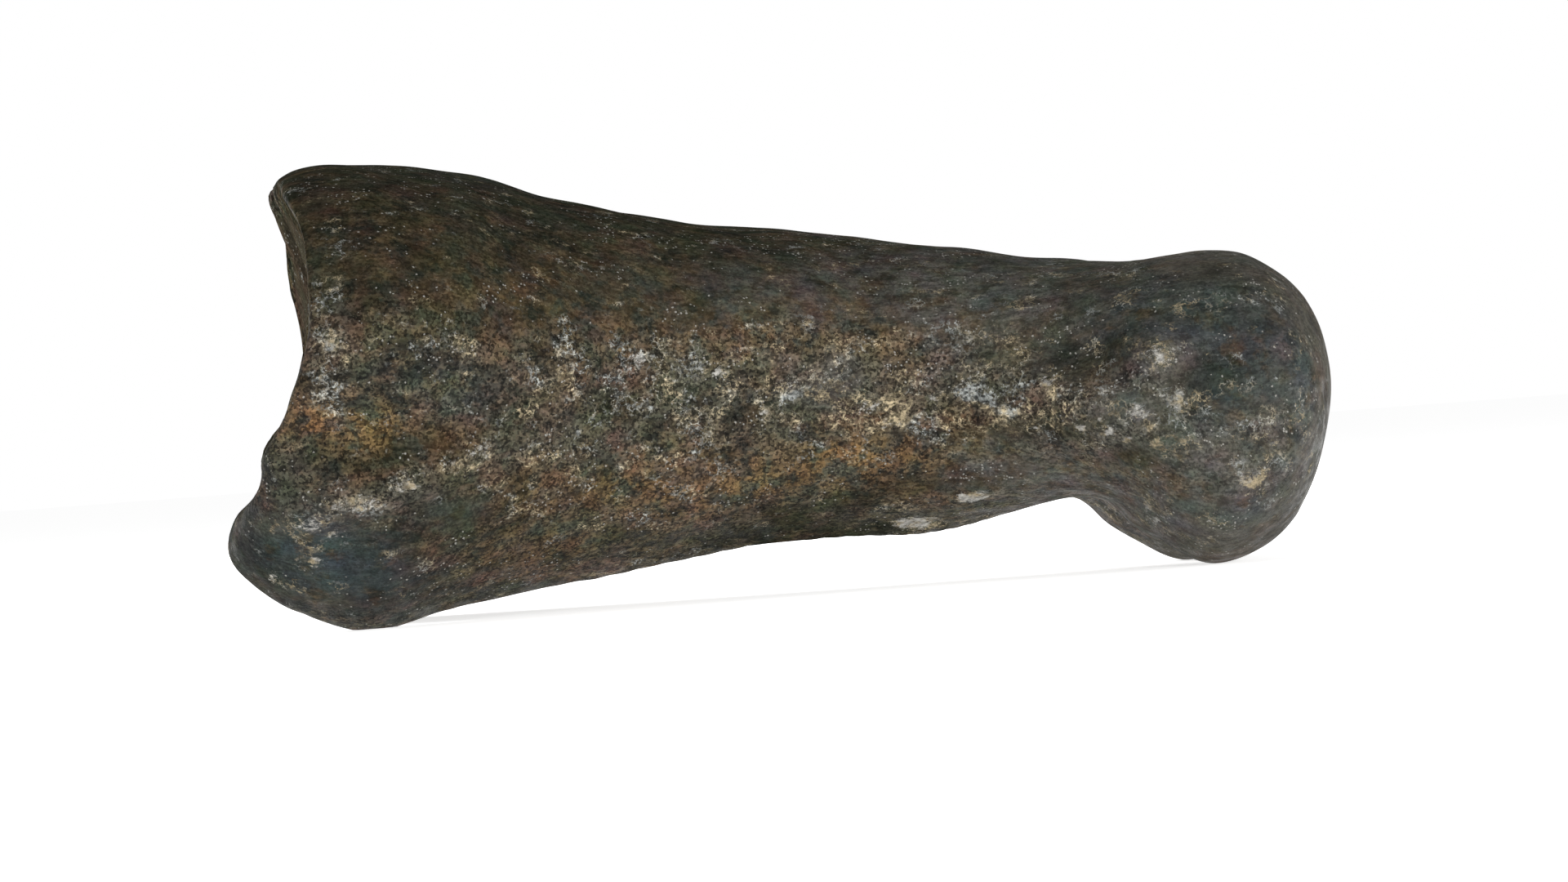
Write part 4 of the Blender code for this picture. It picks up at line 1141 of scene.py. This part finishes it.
@dataclass
class ToeBone:
    """The whole bone: its form, landmarks, stains, relief and finish."""

    form: BoneForm = field(default_factory=BoneForm)
    landmarks: Landmarks = field(default_factory=Landmarks)
    stains: StainMap = field(default_factory=StainMap)
    relief: Relief = field(default_factory=Relief)
    finish: FossilFinish = field(default_factory=FossilFinish)
    worn_foot_depth: float = 0.2

    def raise_skin(self) -> tuple[np.ndarray, dict[Stain, np.ndarray]]:
        """The finished skin's points in metres, and its stains.

        The smooth skin moves along its normals by the landmarks' heights, is set down into the CAD node's
        box, and then moves again by the fine relief. Nothing goes below the surface that the bone rests on.

        Returns:
            The points as rings, turns and x, y, z, and the strength of each stain.
        """
        smooth = self.form.skin()
        points = smooth + self.form.normals(smooth) * self.landmarks.heights(smooth)[..., None]
        points[0] = points[1].mean(0)
        partner = self.form.toe_partner()
        points[-1] = (points[-1] + points[-1][partner]) / 2
        normals = self.form.normals(points)
        stains = self.stains.paint(points, normals, self.form.face_rows)
        fine = self.relief.heights(points, stains)
        stains[Stain.SUNKEN] = np.clip(-fine / self.relief.full_sunken, 0, 1)
        fine[0] = fine[1].mean()
        fine[-1] = (fine[-1] + fine[-1][partner]) / 2
        low, high = (np.array(corner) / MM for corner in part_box("toe_bone"))
        shift = (low + high - points.min((0, 1)) - points.max((0, 1))) / 2
        shift[2] = -points[..., 2].min() - self.worn_foot_depth
        points = points + normals * fine[..., None] + shift
        points[..., 2] = np.maximum(points[..., 2], 0)
        return points * MM, stains

    def faces(self, rings: int) -> np.ndarray:
        """The quads between neighbouring rings, and the fan at the joint face's middle, as point numbers."""
        around = self.form.around
        number = np.arange(rings * around).reshape(rings, around)
        number[0] = 0
        number[-1] = number[-1][np.minimum(np.arange(around), self.form.toe_partner())]
        after = np.roll(number, -1, axis=1)
        return np.stack([number[:-1], number[1:], after[1:], after[:-1]], -1).reshape(-1, 4)

    def build(self) -> bpy.types.Object:
        """Makes the mesh, with its stains as attributes, and dresses it."""
        points, stains = self.raise_skin()
        quads = self.faces(len(points))
        used, compact = np.unique(quads, return_inverse=True)
        quads = compact.reshape(quads.shape)
        loops = [list(dict.fromkeys(quad)) for quad in quads.tolist()]
        loops = [loop for loop in loops if len(loop) > 2]
        mesh = bpy.data.meshes.new("toe_bone_skin")
        mesh.from_pydata(points.reshape(-1, 3)[used].tolist(), [], loops)
        for stain, strength in stains.items():
            attribute = mesh.attributes.new(stain.value, "FLOAT", "POINT")
            attribute.data.foreach_set("value", strength.reshape(-1)[used].astype(np.float32))
        mesh.shade_smooth()
        mesh.materials.append(self.finish.build())
        bone = bpy.data.objects.new("toe_bone_skin", mesh)
        bpy.context.scene.collection.objects.link(bone)
        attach(bone, "root")
        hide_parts("toe_bone")
        LOG.info("%s: %d points, %d faces", bone.name, len(mesh.vertices), len(mesh.polygons))
        return bone


@dataclass(frozen=True)
class SoftLight:
    """A square soft light that points at the bone."""

    name: str
    place: Spot
    size: float
    watts: float
    in_gloss: bool = True
    aim: Spot = (0.0, 0.0, 0.015)

    def build(self) -> None:
        """Hangs the light, turned towards the bone and hidden from the camera itself."""
        light = bpy.data.lights.new(self.name, "AREA")
        light.shape = "SQUARE"
        light.size = self.size
        light.energy = self.watts
        holder = bpy.data.objects.new(self.name, light)
        holder.location = self.place
        towards = Vector(self.aim) - Vector(self.place)
        holder.rotation_euler = towards.to_track_quat("-Z", "Y").to_euler()
        holder.visible_camera = False
        holder.visible_glossy = self.in_gloss
        bpy.context.scene.collection.objects.link(holder)


@dataclass
class Studio:
    """The plain pale floor, the soft light and the camera at the photograph's viewing angle."""

    floor_radius: float = 6.0
    floor_corners: int = 96
    floor_colour: Colour = (0.9, 0.9, 0.9, 1.0)
    floor_roughness: float = 0.9
    floor_glow: float = 0.68
    sky_strength: float = 0.33
    backdrop_strength: float = 1.0
    camera_distance: float = 0.5
    camera_azimuth: float = math.radians(-3.0)
    camera_roll: float = math.radians(-4.3)
    camera_aim: Spot = (0.00051, 0.0, 0.01102)
    camera_nearest: float = 0.01
    frame_width: float = 0.113856
    sensor_mm: float = 36.0
    lights: tuple[SoftLight, ...] = (
        SoftLight("key_light", (0.24, -0.74, 0.1), 0.25, 6.1, in_gloss=False),
        SoftLight("fill_light", (0.65, -0.35, 0.15), 0.4, 1.8),
        SoftLight("back_light", (-0.1, 0.7, 0.35), 0.5, 3.2, in_gloss=False),
        SoftLight("joint_light", (-0.42, 0.58, 0.26), 0.15, 7.0, in_gloss=False),
        SoftLight("top_light", (0.1, 0.0, 0.9), 0.6, 1.0, in_gloss=False),
    )

    def build_floor(self) -> None:
        """A wide round floor at Z = 0: one ring of points about the middle, as a single flat face."""
        turn = np.linspace(0, 2 * math.pi, self.floor_corners, endpoint=False)
        rim = self.floor_radius * np.stack([np.cos(turn), np.sin(turn), 0 * turn], 1)
        mesh = bpy.data.meshes.new("floor")
        mesh.from_pydata(rim.tolist(), [], [list(range(len(rim)))])
        material = bpy.data.materials.new("pale_floor")
        material.use_nodes = True
        shader = material.node_tree.nodes["Principled BSDF"]
        for name, value in (
            ("Base Color", self.floor_colour),
            ("Roughness", self.floor_roughness),
            ("Specular IOR Level", 0.0),
            ("Emission Color", (1.0, 1.0, 1.0, 1.0)),
            ("Emission Strength", self.floor_glow),
        ):
            shader.inputs[name].default_value = value
        mesh.materials.append(material)
        floor = bpy.data.objects.new("floor", mesh)
        bpy.context.scene.collection.objects.link(floor)

    def build_sky(self) -> None:
        """A dim even sky that lights the bone, and plain white behind it."""
        world = bpy.data.worlds.new("studio")
        world.use_nodes = True
        tree = world.node_tree
        tree.nodes["Background"].inputs["Color"].default_value = (1, 1, 1, 1)
        rays = tree.nodes.new("ShaderNodeLightPath")
        strength = tree.nodes.new("ShaderNodeMapRange")
        strength.inputs["To Min"].default_value = self.sky_strength
        strength.inputs["To Max"].default_value = self.backdrop_strength
        tree.links.new(rays.outputs["Is Camera Ray"], strength.inputs["Value"])
        tree.links.new(strength.outputs["Result"], tree.nodes["Background"].inputs["Strength"])
        bpy.context.scene.world = world

    def build_camera(self) -> None:
        """The camera, level with the bone's middle, a little towards the joint, turned about its axis."""
        back = Vector((math.sin(self.camera_azimuth), -math.cos(self.camera_azimuth), 0.0))
        camera = bpy.data.cameras.new("camera")
        camera.sensor_width = self.sensor_mm
        camera.lens = self.sensor_mm * self.camera_distance / self.frame_width
        camera.clip_start = self.camera_nearest
        holder = bpy.data.objects.new("camera", camera)
        holder.location = Vector(self.camera_aim) + back * self.camera_distance
        turn = (-back).to_track_quat("-Z", "Y").to_matrix().to_4x4()
        holder.rotation_euler = (turn @ Matrix.Rotation(self.camera_roll, 4, "Z")).to_euler()
        bpy.context.scene.collection.objects.link(holder)
        bpy.context.scene.camera = holder

    def build(self) -> None:
        """Sets up everything round the bone."""
        bpy.context.scene.view_settings.view_transform = "Standard"
        self.build_floor()
        self.build_sky()
        for light in self.lights:
            light.build()
        self.build_camera()
        LOG.info("studio: %d lights", len(self.lights))


def main() -> None:
    """Builds the bone and the studio."""
    logging.basicConfig(level=logging.INFO, format="%(name)s %(message)s")
    ToeBone().build()
    Studio().build()


if __name__ == "__main__":
    main()
